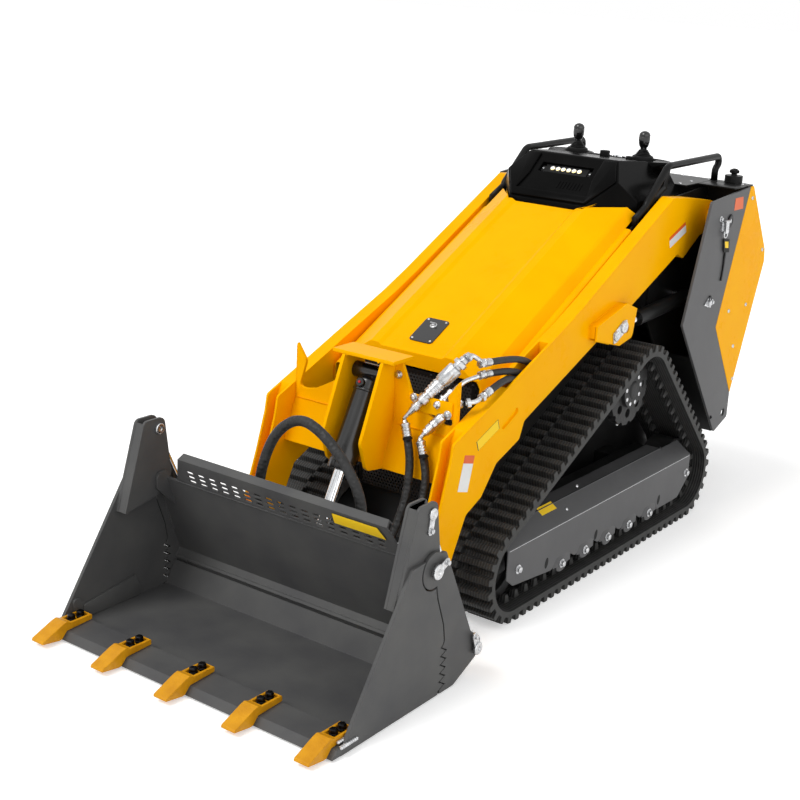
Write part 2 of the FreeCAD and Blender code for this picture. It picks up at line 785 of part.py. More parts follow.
def make_rear_body():
    """Black sheet housing between the rear side panels, closed to the operator."""
    x1 = TOWER_OUTER_X - PANEL_THICKNESS
    return strip(rear_outline(), -REAR_SHEET, -x1, x1)


def make_deck():
    """Deck sheets over the rear body and the towers."""
    x1 = TOWER_OUTER_X - PANEL_THICKNESS
    middle = box(-x1, x1, 850, 905, BODY_TOP_Z, BODY_TOP_Z + DECK_THICKNESS)
    centre = box(-BAY_HALF_WIDTH, BAY_HALF_WIDTH, CONSOLE_REAR_Y, 850, BODY_TOP_Z, BODY_TOP_Z + DECK_THICKNESS)
    cap = Part.makeCylinder(34, 28, Vec(380, 878, BODY_TOP_Z + DECK_THICKNESS), Vec(0, 0, 1))
    return [fuse([middle, centre, cap])]


def make_thigh_pad():
    """Cushion on the rear of the body that the operator leans on."""
    pad = box(-230, 230, 0, 40, 0, 240)
    pad = pad.makeFillet(14, pad.Edges)
    (y0, z0), (y1, z1) = rear_outline()[:2]
    lean = math.degrees(math.atan2(y1 - y0, z0 - z1))
    pad.rotate(Vec(0, 0, 0), Vec(1, 0, 0), lean)
    run = Vec(0, y0 - y1, z0 - z1).normalize()
    out = Vec(0, run.z, -run.y)
    pad.translate(Vec(0, y1, z1) + run * 22 + out * PIN_GAP)
    return pad


def make_platform():
    """Operator's platform on two arms behind the chassis."""
    plate = box(
        -PLATFORM_HALF_WIDTH, PLATFORM_HALF_WIDTH,
        PLATFORM_FRONT_Y, PLATFORM_REAR_Y,
        PLATFORM_Z, PLATFORM_Z + PLATFORM_THICKNESS,
    )
    arms = []
    for x in (-150, 110):
        arm = [
            (FRAME_REAR_Y, PLATFORM_Z + 90),
            (PLATFORM_FRONT_Y, PLATFORM_Z + 1),
            (PLATFORM_FRONT_Y + 200, PLATFORM_Z + 1),
            (PLATFORM_FRONT_Y + 200, PLATFORM_Z - 40, 20),
            (PLATFORM_FRONT_Y - 30, PLATFORM_Z - 50, 20),
            (FRAME_REAR_Y, PLATFORM_Z),
        ]
        arms.append(plate_x(arm, x, x + 40))
    return fuse([plate] + arms)


def console_face_y(z):
    """Y of the console's sloping front at a height."""
    foot_y = RIDGE_REAR_Y + HOOD_GAP
    return foot_y + (z - CONSOLE_FOOT_Z) / math.tan(math.radians(CONSOLE_SLOPE))


def console_solid(inset):
    """Outside of the console, or its inside when inset by the wall."""
    half = CONSOLE_HALF_WIDTH - inset
    top = CONSOLE_TOP_Z - inset
    rear = CONSOLE_REAR_Y - inset
    shift = inset * 1.5
    bottom = frame_rim_z() - 2 * inset
    section = [
        (console_face_y(CONSOLE_FOOT_Z) + inset, bottom),
        (console_face_y(CONSOLE_FOOT_Z) + inset, CONSOLE_FOOT_Z - inset / 3),
        (console_face_y(CONSOLE_TOP_Z) + inset, top, 25),
        (500, top - 15, 25),
        (rear, 1330 - inset, 20),
        (rear, bottom),
    ]
    body = plate_x(section, -half, half)
    plan = [
        (-STICK_X - 14 + inset, RIDGE_REAR_Y + HOOD_SWING_GAP / 2),
        (STICK_X + 14 - inset, RIDGE_REAR_Y + HOOD_SWING_GAP / 2),
        (half, hood_rear_y(half + inset) + HOOD_SWING_GAP + shift),
        (half, rear),
        (-half, rear),
        (-half, hood_rear_y(half + inset) + HOOD_SWING_GAP + shift),
    ]
    body = body.common(plate_z(plan, 1000, 1500))
    front = [
        (-half, bottom),
        (-half, 1235 - inset),
        (-STICK_X - 40 + inset, top),
        (STICK_X + 40 - inset, top),
        (half, 1235 - inset),
        (half, bottom),
    ]
    return body.common(plate_y(front, 0, 800))


def light_pocket(width, height, sink, depth):
    """Block in the console's front, sunk square to its face."""
    block = box(-width / 2, width / 2, 0, depth, -height / 2, height / 2)
    block.rotate(Vec(0, 0, 0), Vec(1, 0, 0), CONSOLE_SLOPE - 90)
    angle = math.radians(CONSOLE_SLOPE)
    inward = Vec(0, math.sin(angle), -math.cos(angle))
    block.translate(Vec(0, console_face_y(LIGHT_Z), LIGHT_Z) + inward * sink)
    return block


def stick_seat():
    """Top centre of the left joystick's pod."""
    return Vec(STICK_X, STICK_Y - 20, CONSOLE_TOP_Z - 20)


def make_console():
    """Moulded console: a sloping front between two bevelled flanks."""
    pod = Part.makeCylinder(52, 60, stick_seat() - Vec(0, 0, 60), Vec(0, 0, 1))
    well = light_pocket(LIGHT_WIDTH + 30, LIGHT_HEIGHT + 26, -1, LIGHT_SINK + 22 + CONSOLE_WALL)
    shell = console_solid(0).fuse([pod, mirrored(pod)]).cut(console_solid(CONSOLE_WALL))
    shell = shell.fuse(well.common(console_solid(0)))
    shell = shell.cut(light_pocket(LIGHT_WIDTH, LIGHT_HEIGHT, -1, LIGHT_SINK + 20 + 1))
    foot_y = console_face_y(CONSOLE_FOOT_Z)
    slot = box(HINGE_X - 6, HINGE_X + HINGE_WIDTH + 6, foot_y - 1, foot_y + CONSOLE_WALL + 1, 1100, CONSOLE_FOOT_Z - 25)
    shell = shell.cut([slot, mirrored(slot)])
    ears = []
    for x in (HINGE_X + HINGE_WIDTH + SIDE_GAP, -HINGE_X - HINGE_WIDTH - SIDE_GAP - 8):
        ear = [
            (HOOD_HINGE_Y - 14, HOOD_HINGE_Z - 14, 8),
            (HOOD_HINGE_Y + 14, HOOD_HINGE_Z - 14, 8),
            (HOOD_HINGE_Y + 90, HOOD_HINGE_Z + 110),
            (HOOD_HINGE_Y + 30, HOOD_HINGE_Z + 110),
        ]
        ears.append(plate_x(ear, x, x + 8).common(console_solid(CONSOLE_WALL / 2)))
    pins = []
    reach = HINGE_WIDTH + 2 * SIDE_GAP
    pins.append(pin_x(HINGE_X - SIDE_GAP, HINGE_X + reach, HOOD_HINGE_Y, HOOD_HINGE_Z, HINGE_PIN))
    pins.append(mirrored(pins[0]))
    return fuse([shell] + ears + pins)


def make_light_bar():
    """Recessed work light on the console's front."""
    return light_pocket(LIGHT_WIDTH, LIGHT_HEIGHT, LIGHT_SINK, 20)


def make_joystick():
    """Left joystick: bezel, boot and grip."""
    seat = stick_seat()
    up = Vec(0, 0, 1)
    foot = BEZEL_HEIGHT + BOOT_HEIGHT
    bezel = Part.makeCylinder(40, BEZEL_HEIGHT, seat, up)
    boot = Part.makeCone(28, 11, BOOT_HEIGHT, seat + up * BEZEL_HEIGHT, up)
    grip = Part.makeCylinder(GRIP_DIAMETER / 2, GRIP_LENGTH, seat + up * foot, up)
    top = seat.z + foot + GRIP_LENGTH
    knob = grip.makeFillet(GRIP_DIAMETER * 0.35, [e for e in grip.Edges if e.BoundBox.ZMin > top - 1])
    return fuse([bezel, boot, knob])


def tube(points, diameter, bends):
    """Round tube along straight runs joined by tangent arcs of the given radii."""
    pieces = []
    start = points[0]
    for i, bend in enumerate(bends):
        here = points[i + 1]
        back = (points[i] - here).normalize()
        on = (points[i + 2] - here).normalize()
        half = back.getAngle(on) / 2
        reach = bend / math.tan(half)
        a = here + back * reach
        b = here + on * reach
        centre = here + (back + on).normalize() * (bend / math.sin(half))
        pieces.append(bar(start, a, diameter))
        section = Part.Face(Part.Wire([Part.Circle(a, back, diameter / 2).toShape()]))
        axis = (a - centre).cross(b - centre)
        pieces.append(section.revolve(centre, axis, 180 - math.degrees(2 * half)))
        start = b
    pieces.append(bar(start, points[-1], diameter))
    return fuse(pieces)


def hose(name, points, diameter):
    """Hose along straight runs, each corner as round as its shorter run lets it be."""
    bends = []
    for i in range(1, len(points) - 1):
        before = points[i] - points[i - 1]
        after = points[i + 1] - points[i]
        shorter = min(before.Length, after.Length)
        bends.append(0.45 * shorter / math.tan(before.getAngle(after) / 2))
    body = tube(points, diameter, bends)
    length = body.Volume / (math.pi * diameter ** 2 / 4)
    print(name, "bend radii", [round(b) for b in bends], "length from volume", round(length))
    return body


def make_handrail():
    """Left handrail beside the console, with the guide bar under its front leg."""
    rim = frame_rim_z()
    points = [
        Vec(RAIL_X, 322, rim),
        Vec(RAIL_X, 322, 1225),
        Vec(RAIL_X, 471, 1352),
        Vec(RAIL_X, 950, 1358),
        Vec(RAIL_X, 885, 1310),
        Vec(RAIL_X, 885, BODY_TOP_Z + DECK_THICKNESS),
    ]
    rail = tube(points, RAIL_DIAMETER, [40, 50, 20, 20])
    guide = bar(Vec(RAIL_X, 246, 1184), Vec(RAIL_X, 446, 1277), GUIDE_DIAMETER)
    foot = box(RAIL_X - 8, RAIL_X + 8, 240, 262, rim, 1190)
    bracket = plate_x([(434, 1268, 8), (470, 1268, 8), (484, 1345), (452, 1335)], RAIL_X - 5, RAIL_X + 5)
    return fuse([rail, guide, foot, bracket])


def make_boom_pins():
    """Boom pivot pin and lift base pin of the left tower."""
    x0 = BAY_HALF_WIDTH
    pins = [pin_x(x0, TOWER_OUTER_X + 4, BOOM_PIVOT_Y, BOOM_PIVOT_Z, BOOM_PIN_DIAMETER)]
    pins.append(pin_x(x0, TOWER_OUTER_X + 4, LIFT_BASE_Y, LIFT_BASE_Z, LIFT_PIN))
    return pins


# ---------------------------------------------------------------- boom
def arm_outline():
    """Outline of the boom arm from its tip round its rear end."""
    return [
        (-925, 645, 15),
        (-471, 833),
        (-311, 899),
        (-187, 957),
        (400, 1254, 40),
        (538, 1241, 40),
        (BOOM_PIVOT_Y + 30, BOOM_PIVOT_Z + 62, 40),
        (BOOM_PIVOT_Y + 62, BOOM_PIVOT_Z - 40, 40),
        (650, 1090, 20),
        (527, 1018, 20),
        (479, 1041, 20),
        (125, 890),
        (-91, 808),
        (-525, 631, 20),
        (-548, 574, 20),
        (-676, 526, 20),
        (-752, 433, 20),
        (-832, 397, 20),
        (-893, 275, 20),
        (TILT_PIVOT_Y + 50, TILT_PIVOT_Z - 40, 40),
        (TILT_PIVOT_Y - 50, TILT_PIVOT_Z - 62, 40),
        (TILT_PIVOT_Y - 68, TILT_PIVOT_Z + 10, 40),
        (-972, 461, 20),
        (-934, 589, 20),
    ]


def make_arm():
    """Left boom arm: a box of two plates with an open web at the front."""
    x0 = ARM_INNER_X
    x1 = x0 + ARM_WIDTH
    arm = plate_x(arm_outline(), x0, x1)
    recess = [(-1100, 300), (-952, 300), (-880, 640), (-845, 690), (-1100, 690)]
    arm = arm.cut(plate_x(recess, x0 + ARM_PLATE, x1 - ARM_PLATE))
    slot = strip([(-652, 628), (-565, 671)], SLOT_HEIGHT, x1 - ARM_PLATE, x1)
    arm = arm.cut(slot.makeFillet(SLOT_HEIGHT * 0.49, [e for e in slot.Edges if abs(e.Length - ARM_PLATE) < 0.1]))
    bracket = [
        (LIFT_EYE_Y - 49, 784, 12),
        (LIFT_EYE_Y + 42, 800, 20),
        (LIFT_EYE_Y + 60, 900),
        (LIFT_EYE_Y - 20, 930),
        (LIFT_EYE_Y - 220, 880),
        (LIFT_EYE_Y - 220, 830),
    ]
    inner = plate_x(bracket, x0, x0 + ARM_PLATE)
    outer = plate_x(bracket, BRACKET_OUTER_X - ARM_PLATE, BRACKET_OUTER_X)
    filler = [
        (LIFT_EYE_Y - 219, 835),
        (LIFT_EYE_Y - 60, 850),
        (LIFT_EYE_Y - 40, 895),
        (LIFT_EYE_Y - 20, 928),
        (LIFT_EYE_Y - 219, 878),
    ]
    web = plate_x(filler, x0, BRACKET_OUTER_X - ARM_PLATE + 1)
    bushing = pin_x(x1 - 1, TOWER_OUTER_X - TOWER_WALL - SIDE_GAP, BOOM_PIVOT_Y, BOOM_PIVOT_Z, 66)
    arm = fuse([arm, inner, outer, web, bushing])
    bore = BOOM_PIN_DIAMETER + 2 * PIN_GAP
    arm = arm.cut(pin_x(x0, TOWER_OUTER_X, BOOM_PIVOT_Y, BOOM_PIVOT_Z, bore))
    arm = arm.cut(pin_x(x0, x1, TILT_PIVOT_Y, TILT_PIVOT_Z, TILT_PIN_DIAMETER + 2 * PIN_GAP))
    between = (x0 + ARM_PLATE, BRACKET_OUTER_X - ARM_PLATE)
    arm = arm.cut(pin_x(between[0], between[1], LIFT_EYE_Y, LIFT_EYE_Z, 2 * LIFT_POCKET))
    for plane in (x0, between[1]):
        arm = arm.cut(pin_x(plane, plane + ARM_PLATE, LIFT_EYE_Y, LIFT_EYE_Z, LIFT_PIN))
    return arm


def hose_pocket():
    """Open top of the left arm where the boom's hoses go in."""
    top = BOOM_PIVOT_Z
    return box(POCKET_INNER_X, POCKET_OUTER_X, POCKET_FRONT_Y, POCKET_REAR_Y, POCKET_FLOOR_Z, top)


def make_crossmember():
    """Cross plate between the arms with the yoke of the tilt cylinder."""
    half = ARM_INNER_X
    sheet = 12.0
    lower = strip([(-880, 488), (-826, 628)], sheet, -half, half)
    wing = [
        (80, 625),
        (half, 625),
        (half, 809),
        (315, 809),
        (277, 757, 20),
        (303, 666, 12),
        (270, 665, 12),
        (233, 674, 40),
        (152, 719, 60),
        (103, 828),
        (80, 833),
    ]
    wings = [plate_y(wing, WING_FRONT_Y, WING_FRONT_Y + WING_THICKNESS)]
    wings.append(mirrored(wings[0]))
    cap = box(-118, 118, -905, -800, 833, 845)
    cheek = [
        (-905, 834, 10),
        (-1000, 595, 40),
        (-965, 500, 30),
        (-880, 488),
        (-826, 628),
        (-800, 640),
        (-800, 834),
    ]
    inner = yoke_half_gap()
    cheeks = [plate_x(cheek, inner, inner + 12)]
    cheeks.append(mirrored(cheeks[0]))
    body = fuse([lower, cap] + wings + cheeks)
    span = inner + 12
    pin = pin_x(-span, span, TILT_TOP_Y, TILT_TOP_Z, TILT_PIN)
    return fuse([body, pin])


def yoke_half_gap():
    """Half of the free width between the yoke's cheeks."""
    return TILT_BORE / 2 + 30


def boom_hose_routes():
    """Corners of the three hoses from the couplers into the left arm."""
    x = (POCKET_INNER_X + POCKET_OUTER_X) / 2
    end = POCKET_FLOOR_Z + PIN_GAP
    high = [Vec(317, -699, 845), Vec(332, -600, 842), Vec(x, -500, 822), Vec(x, -440, 780), Vec(x, -440, end)]
    middle = [Vec(320, -699, 809), Vec(334, -620, 808), Vec(x, -540, 790), Vec(x, -487, 760), Vec(x, -487, end)]
    low = [Vec(352, -740, 762), Vec(357, -680, 784), Vec(350, -610, 785), Vec(x, -535, 760), Vec(x, -535, end)]
    return high, middle, low


def bucket_hose_routes():
    """Corners of the two hoses from the couplers down to the ports on the hitch."""
    y = hitch_port_y()
    end = HOSE_PORT_Z + PORT_LEG + PIN_GAP
    near = [
        Vec(160, -884, 650),
        Vec(166, -894, 600),
        Vec(196, -912, 535),
        Vec(222, -948, 440),
        Vec(221, -1010, 335),
        Vec(NEAR_PORT_X, y, 262),
        Vec(NEAR_PORT_X, y, end),
    ]
    far = [
        Vec(222, -888, 612),
        Vec(230, -898, 566),
        Vec(262, -916, 505),
        Vec(273, -948, 425),
        Vec(272, -1010, 330),
        Vec(FAR_PORT_X, y, 262),
        Vec(FAR_PORT_X, y, end),
    ]
    return near, far


def ferrule(route, length, diameter):
    """Sleeve square on the start of a hose's route."""
    run = (route[1] - route[0]).normalize()
    return bar(route[0] - run * (length + PIN_GAP), route[0] - run * PIN_GAP, diameter)


def make_couplers():
    """Hydraulic couplers of the bucket's jaw, on a strap across the left wing."""
    high, middle, low = boom_hose_routes()
    near, far = bucket_hose_routes()
    upper = Vec(288, -768, 865)
    lower = Vec(163, -880, 684)
    run = (lower - upper).normalize()
    small_top = Vec(262, -812, 731)
    small_foot = Vec(222, -880, 646)
    small_run = (small_foot - small_top).normalize()
    wide = COUPLER_DIAMETER
    slim = SMALL_COUPLER_DIAMETER
    pieces = [bar(upper, lower, wide * 0.8)]
    for station in (12, 80, 190):
        pieces.append(bar(upper + run * station, upper + run * (station + 40), wide))
    pieces.append(bar(small_top, small_foot, slim * 0.8))
    pieces.append(bar(small_top + small_run * 62, small_top + small_run * 94, slim))
    for start, middle_point, route in (
        (upper + run * 8, Vec(290, -742, 872), high),
        (small_top + small_run * 6, Vec(272, -760, 790), middle),
    ):
        sleeve = route[0] - (route[1] - route[0]).normalize() * 24
        for a, b in ((start, middle_point), (middle_point, sleeve)):
            pieces.append(bar(a, b, BOOM_HOSE_DIAMETER))
            pieces.append(Part.makeSphere(BOOM_HOSE_DIAMETER / 2, b))
        pieces.append(ferrule(route, 24, BOOM_HOSE_DIAMETER + 5))
    pieces.append(ferrule(near, 36, BUCKET_HOSE_DIAMETER + 4))
    pieces.append(ferrule(far, 36, BUCKET_HOSE_DIAMETER + 4))
    face = WING_FRONT_Y - PIN_GAP
    strap = [(140, 690), (300, 690), (300, 742), (140, 742)]
    pieces.append(plate_y(strap, face - STRAP_THICKNESS, face))
    behind = WING_FRONT_Y + WING_THICKNESS + PIN_GAP
    flange = Part.makeCylinder(18, 14, Vec(306, behind, 736), Vec(0, 1, 0))
    elbow = bar(Vec(306, behind + 14, 736), low[0] - (low[1] - low[0]).normalize() * 20, BOOM_HOSE_DIAMETER)
    return [fuse(pieces), fuse([flange, elbow, ferrule(low, 24, BOOM_HOSE_DIAMETER + 5)])]


def make_boom_hoses():
    """Three hoses from the couplers into the left arm."""
    high, middle, low = boom_hose_routes()
    return [
        hose("boom hose high", high, BOOM_HOSE_DIAMETER),
        hose("boom hose middle", middle, BOOM_HOSE_DIAMETER),
        hose("boom hose low", low, BOOM_HOSE_DIAMETER),
    ]


def make_bucket_hoses():
    """Two hoses from the couplers down to the ports on the hitch plate."""
    near, far = bucket_hose_routes()
    return [
        hose("bucket hose near", near, BUCKET_HOSE_DIAMETER),
        hose("bucket hose far", far, BUCKET_HOSE_DIAMETER),
    ]


# ---------------------------------------------------------------- cylinders
def barrel(x, base, aim, bore, rod, pin, length, eye_width, neck):
    """Cylinder barrel with its eye at the base pin, bored for its rod."""
    base_point = Vec(x, base[0], base[1])
    run = Vec(0, aim[0] - base[0], aim[1] - base[1]).normalize()
    tube_start = base_point + run * (pin / 2 + EYE_WALL / 2 + neck)
    body = bar(tube_start, base_point + run * length, bore)
    if neck > 0:
        body = body.fuse(bar(base_point, tube_start + run, eye_width))
    eye = pin_x(x - eye_width / 2, x + eye_width / 2, base[0], base[1], pin + 2 * EYE_WALL)
    body = fuse([body, eye])
    bottom = base_point + run * (pin / 2 + EYE_WALL + neck + 1)
    body = body.cut(bar(bottom, base_point + run * (length + 1), rod + 2 * PIN_GAP))
    return body.cut(pin_x(x - eye_width, x + eye_width, base[0], base[1], pin + 2 * PIN_GAP))


def piston_rod(x, base, aim, rod, pin, reach, eye_width):
    """Rod with its eye at the far pin, reaching back into the barrel."""
    eye_point = Vec(x, aim[0], aim[1])
    run = Vec(0, base[0] - aim[0], base[1] - aim[1]).normalize()
    shaft = bar(eye_point, eye_point + run * reach, rod)
    eye = pin_x(x - eye_width / 2, x + eye_width / 2, aim[0], aim[1], pin + 2 * EYE_WALL)
    body = fuse([shaft, eye])
    return body.cut(pin_x(x - eye_width, x + eye_width, aim[0], aim[1], pin + 2 * PIN_GAP))


LIFT_X = (ARM_INNER_X + ARM_PLATE + BRACKET_OUTER_X - ARM_PLATE) / 2
LIFT_BASE = (LIFT_BASE_Y, LIFT_BASE_Z)
LIFT_EYE = (LIFT_EYE_Y, LIFT_EYE_Z)
TILT_TOP = (TILT_TOP_Y, TILT_TOP_Z)
TILT_LUG = (TILT_LUG_Y, TILT_LUG_Z)
JAW_BASE = (JAW_BASE_Y, JAW_BASE_Z)
JAW_EYE = (JAW_EYE_Y, JAW_EYE_Z)


def make_lift():
    """Barrel and rod of the left lift cylinder."""
    width = 40.0
    body = barrel(LIFT_X, LIFT_BASE, LIFT_EYE, LIFT_BORE, LIFT_ROD, LIFT_PIN, LIFT_BARREL_LENGTH, width, 0)
    rod = piston_rod(LIFT_X, LIFT_BASE, LIFT_EYE, LIFT_ROD, LIFT_PIN, LIFT_ROD_LENGTH, width)
    return body, rod


def make_tilt():
    """Barrel and rod of the tilt cylinder."""
    width = TILT_ROD_EYE
    yoke = 2 * yoke_half_gap() - 2 * SIDE_GAP
    body = barrel(0, TILT_TOP, TILT_LUG, TILT_BORE, TILT_ROD, TILT_PIN, TILT_BARREL_LENGTH, yoke, 0)
    rod = piston_rod(0, TILT_TOP, TILT_LUG, TILT_ROD, TILT_PIN, TILT_ROD_LENGTH, width)
    return body, rod


def make_jaw_cylinder():
    """Barrel and rod of the left jaw cylinder."""
    width = JAW_EYE_WIDTH
    x = CYLINDER_X
    body = barrel(x, JAW_BASE, JAW_EYE, JAW_BORE, JAW_ROD, JAW_PIN, JAW_BARREL_LENGTH, width, JAW_NECK)
    rod = piston_rod(x, JAW_BASE, JAW_EYE, JAW_ROD, JAW_PIN, JAW_ROD_LENGTH, width)
    return body, rod


# ---------------------------------------------------------------- bucket
def board_point(z, offset):
    """(Y, Z) at a height on the line behind the mouldboard's inside face."""
    run_y = BOARD_TOP_Y - BOARD_FOOT_Y
    run_z = BOARD_TOP_Z - BOARD_FOOT_Z
    level_offset = offset * math.hypot(run_y, run_z) / run_z
    return (BOARD_FOOT_Y + (z - BOARD_FOOT_Z) * run_y / run_z + level_offset, z)


def hitch_front():
    """Distance of the hitch plate's front behind the mouldboard's inside face."""
    return BUCKET_PLATE + HITCH_GAP


def hitch_port_y():
    """Y of the hose ports behind the hitch plate."""
    return board_point(HOSE_PORT_Z, hitch_front() + HITCH_PLATE)[0] + BUCKET_HOSE_DIAMETER


def make_quick_attach():
    """Hitch plate with two pairs of ears for the arms and the tilt lug."""
    front = hitch_front()
    rear = front + HITCH_PLATE
    half = HITCH_HALF_WIDTH
    outline = [
        board_point(HITCH_FOOT_Z, front),
        board_point(HITCH_TOP_Z, front),
        board_point(HITCH_TOP_Z, rear),
        board_point(HITCH_FOOT_Z, rear),
    ]
    window = TILT_ROD_EYE / 2 + SIDE_GAP
    plate = plate_x(outline, -half, half)
    plate = plate.cut(box(-window, window, outline[1][0] - 1, outline[3][0] + 1, HITCH_WINDOW_Z, HITCH_TOP_Z + 1))
    pieces = [plate]
    seat = rear - 1
    ear = [
        board_point(HITCH_FOOT_Z + 5, seat),
        board_point(HITCH_FOOT_Z + 215, seat),
        (TILT_PIVOT_Y - 10, TILT_PIVOT_Z + 45, 30),
        (TILT_PIVOT_Y + 45, TILT_PIVOT_Z, 30),
        (TILT_PIVOT_Y, TILT_PIVOT_Z - 50, 30),
    ]
    x0 = ARM_INNER_X - SIDE_GAP - EAR_PLATE
    x1 = ARM_INNER_X + ARM_WIDTH + SIDE_GAP
    for x in (x0, x1):
        ears = plate_x(ear, x, x + EAR_PLATE)
        pieces += [ears, mirrored(ears)]
    lug = [
        board_point(TILT_LUG_Z - 75, seat),
        board_point(TILT_LUG_Z + 75, seat),
        (TILT_LUG_Y - 10, TILT_LUG_Z + 40, 25),
        (TILT_LUG_Y + 34, TILT_LUG_Z, 25),
        (TILT_LUG_Y, TILT_LUG_Z - 36, 25),
    ]
    lug_plate = plate_x(lug, window, window + EAR_PLATE)
    lug_plate = lug_plate.cut(pin_x(window, window + EAR_PLATE, TILT_LUG_Y, TILT_LUG_Z, TILT_PIN))
    pieces += [lug_plate, mirrored(lug_plate)]
    for x in (NEAR_PORT_X, FAR_PORT_X):
        corner = Vec(x, hitch_port_y(), HOSE_PORT_Z)
        pieces.append(bar(Vec(x, board_point(HOSE_PORT_Z, rear - 8)[0], HOSE_PORT_Z), corner, BUCKET_HOSE_DIAMETER))
        pieces.append(Part.makeSphere(BUCKET_HOSE_DIAMETER / 2, corner))
        pieces.append(bar(corner, corner + Vec(0, 0, PORT_LEG), BUCKET_HOSE_DIAMETER))
    pin = pin_x(x0, x1 + EAR_PLATE, TILT_PIVOT_Y, TILT_PIVOT_Z, TILT_PIN_DIAMETER)
    return fuse(pieces + [pin, mirrored(pin)])


def side_split(gap, tooth_gap):
    """Line between the jaw's side plate and the rear section's, from J down."""
    line = [
        (JAW_PIVOT_Y + 22 + gap, JAW_PIVOT_Z - 92, 60),
        (-1206 + gap, 226, 80),
        (-1193 + gap, SERRATION_TOP_Z + 12, 20),
    ]
    front = BACK_SPLIT_Y + tooth_gap
    for i in range(SERRATIONS):
        z = SERRATION_TOP_Z - i * SERRATION_PITCH
        line.append((front, z))
        line.append((front + SERRATION_DEPTH, z - 0.6 * SERRATION_PITCH))
    line.append((front, SERRATION_TOP_Z - SERRATIONS * SERRATION_PITCH))
    line.append((front, GROUND_GAP))
    return line


def make_bucket_back():
    """Rear section: mouldboard, side plates, pivot ears and ribs to the hitch."""
    half = BUCKET_HALF_WIDTH
    plate = BUCKET_PLATE
    inner = half - plate
    corner = CYLINDER_X - JAW_EYE_WIDTH / 2 - LEVER_PLATE - 2 * SIDE_GAP
    board_line = [(BOARD_HEEL_Y, BOARD_HEEL_Z), (BOARD_FOOT_Y, BOARD_FOOT_Z), (BOARD_TOP_Y, BOARD_TOP_Z)]
    board = strip(board_line, -plate, -inner, inner)
    notch = pin_x(corner, inner, JAW_PIVOT_Y, JAW_PIVOT_Z, 2 * (JAW_BOSS + SPLIT_GAP))
    pieces = [board.cut([notch, mirrored(notch)])]
    rear = [
        (-1212, 452, 14),
        (JAW_PIVOT_Y - 20, JAW_PIVOT_Z + 40, 20),
        (JAW_PIVOT_Y + 12 + SPLIT_GAP, JAW_PIVOT_Z - 50),
    ]
    foot = [
        (-1132, GROUND_GAP, 20),
        (JAW_BASE_Y + 10, JAW_BASE_Z - 32, 30),
        (JAW_BASE_Y + 36, JAW_BASE_Z + 20, 25),
        (-1054, 150, 20),
    ]
    side = plate_x(rear + side_split(SPLIT_GAP, SERRATION_GAP) + foot, inner, half)
    boss = pin_x(inner, half, JAW_PIVOT_Y, JAW_PIVOT_Z, 2 * JAW_BOSS)
    pin = pin_x(corner - plate / 2, half + 6, JAW_PIVOT_Y, JAW_PIVOT_Z, JAW_PIVOT_DIAMETER)
    pivot_ear = [
        (JAW_PIVOT_Y - 30, JAW_PIVOT_Z - 24, 22),
        (JAW_PIVOT_Y - 30, JAW_PIVOT_Z + 28, 22),
        (JAW_PIVOT_Y + 22, JAW_PIVOT_Z + 28, 18),
        board_point(BOARD_TOP_Z - 15, plate / 2),
        board_point(BOARD_TOP_Z - 110, plate / 2),
    ]
    pivot_ears = plate_x(pivot_ear, corner - plate, corner)
    ear_x = CYLINDER_X - JAW_EYE_WIDTH / 2 - SIDE_GAP
    ear = [
        (BOARD_HEEL_Y + 4, BOARD_HEEL_Z - 8),
        (BOARD_FOOT_Y + 5, BOARD_FOOT_Z + 5),
        (JAW_BASE_Y - 60, BOARD_FOOT_Z + 5),
        (JAW_BASE_Y - 8, JAW_BASE_Z + 22, 12),
        (JAW_BASE_Y + 24, JAW_BASE_Z, 20),
        (JAW_BASE_Y - 10, JAW_BASE_Z - 30, 20),
        (BOARD_FOOT_Y + 15, JAW_BASE_Z - 30),
    ]
    ears = plate_x(ear, ear_x - plate, ear_x)
    base = Vec(CYLINDER_X, JAW_BASE_Y, JAW_BASE_Z)
    aim = (Vec(CYLINDER_X, JAW_EYE_Y, JAW_EYE_Z) - base).normalize()
    start = JAW_PIN / 2 + EYE_WALL
    ears = ears.cut(bar(base + aim * start, base + aim * JAW_BARREL_LENGTH, JAW_BORE + 2 * SPLIT_GAP))
    base_pin = pin_x(ear_x - plate, half + 6, JAW_BASE_Y, JAW_BASE_Z, JAW_PIN)
    for piece in (side, boss, pin, pivot_ears, ears, base_pin):
        pieces += [piece, mirrored(piece)]
    front = hitch_front()
    rib = [
        board_point(BOARD_FOOT_Z + 10, plate - 1),
        board_point(HITCH_TOP_Z, plate - 1),
        board_point(HITCH_TOP_Z, front),
        board_point(BOARD_FOOT_Z + 10, front),
    ]
    for i in range(RIB_COUNT):
        x = (i - (RIB_COUNT - 1) / 2) * RIB_PITCH
        pieces.append(plate_x(rib, x - 6, x + 6))
    for x in (-PORT_X, PORT_FAR_X):
        foot = Vec(x, *loop_port(PORT_TOP_Z - PORT_LEG))
        pieces.append(bar(foot, Vec(x, *loop_port(PORT_TOP_Z)), LOOP_HOSE_DIAMETER + 4))
        web = [
            board_point(PORT_TOP_Z - PORT_LEG + 15, plate - 1),
            board_point(PORT_TOP_Z - 12, plate - 1),
            loop_port(PORT_TOP_Z - 12),
            loop_port(PORT_TOP_Z - PORT_LEG + 15),
        ]
        pieces.append(plate_x(web, x - 8, x + 8))
    return fuse(pieces)


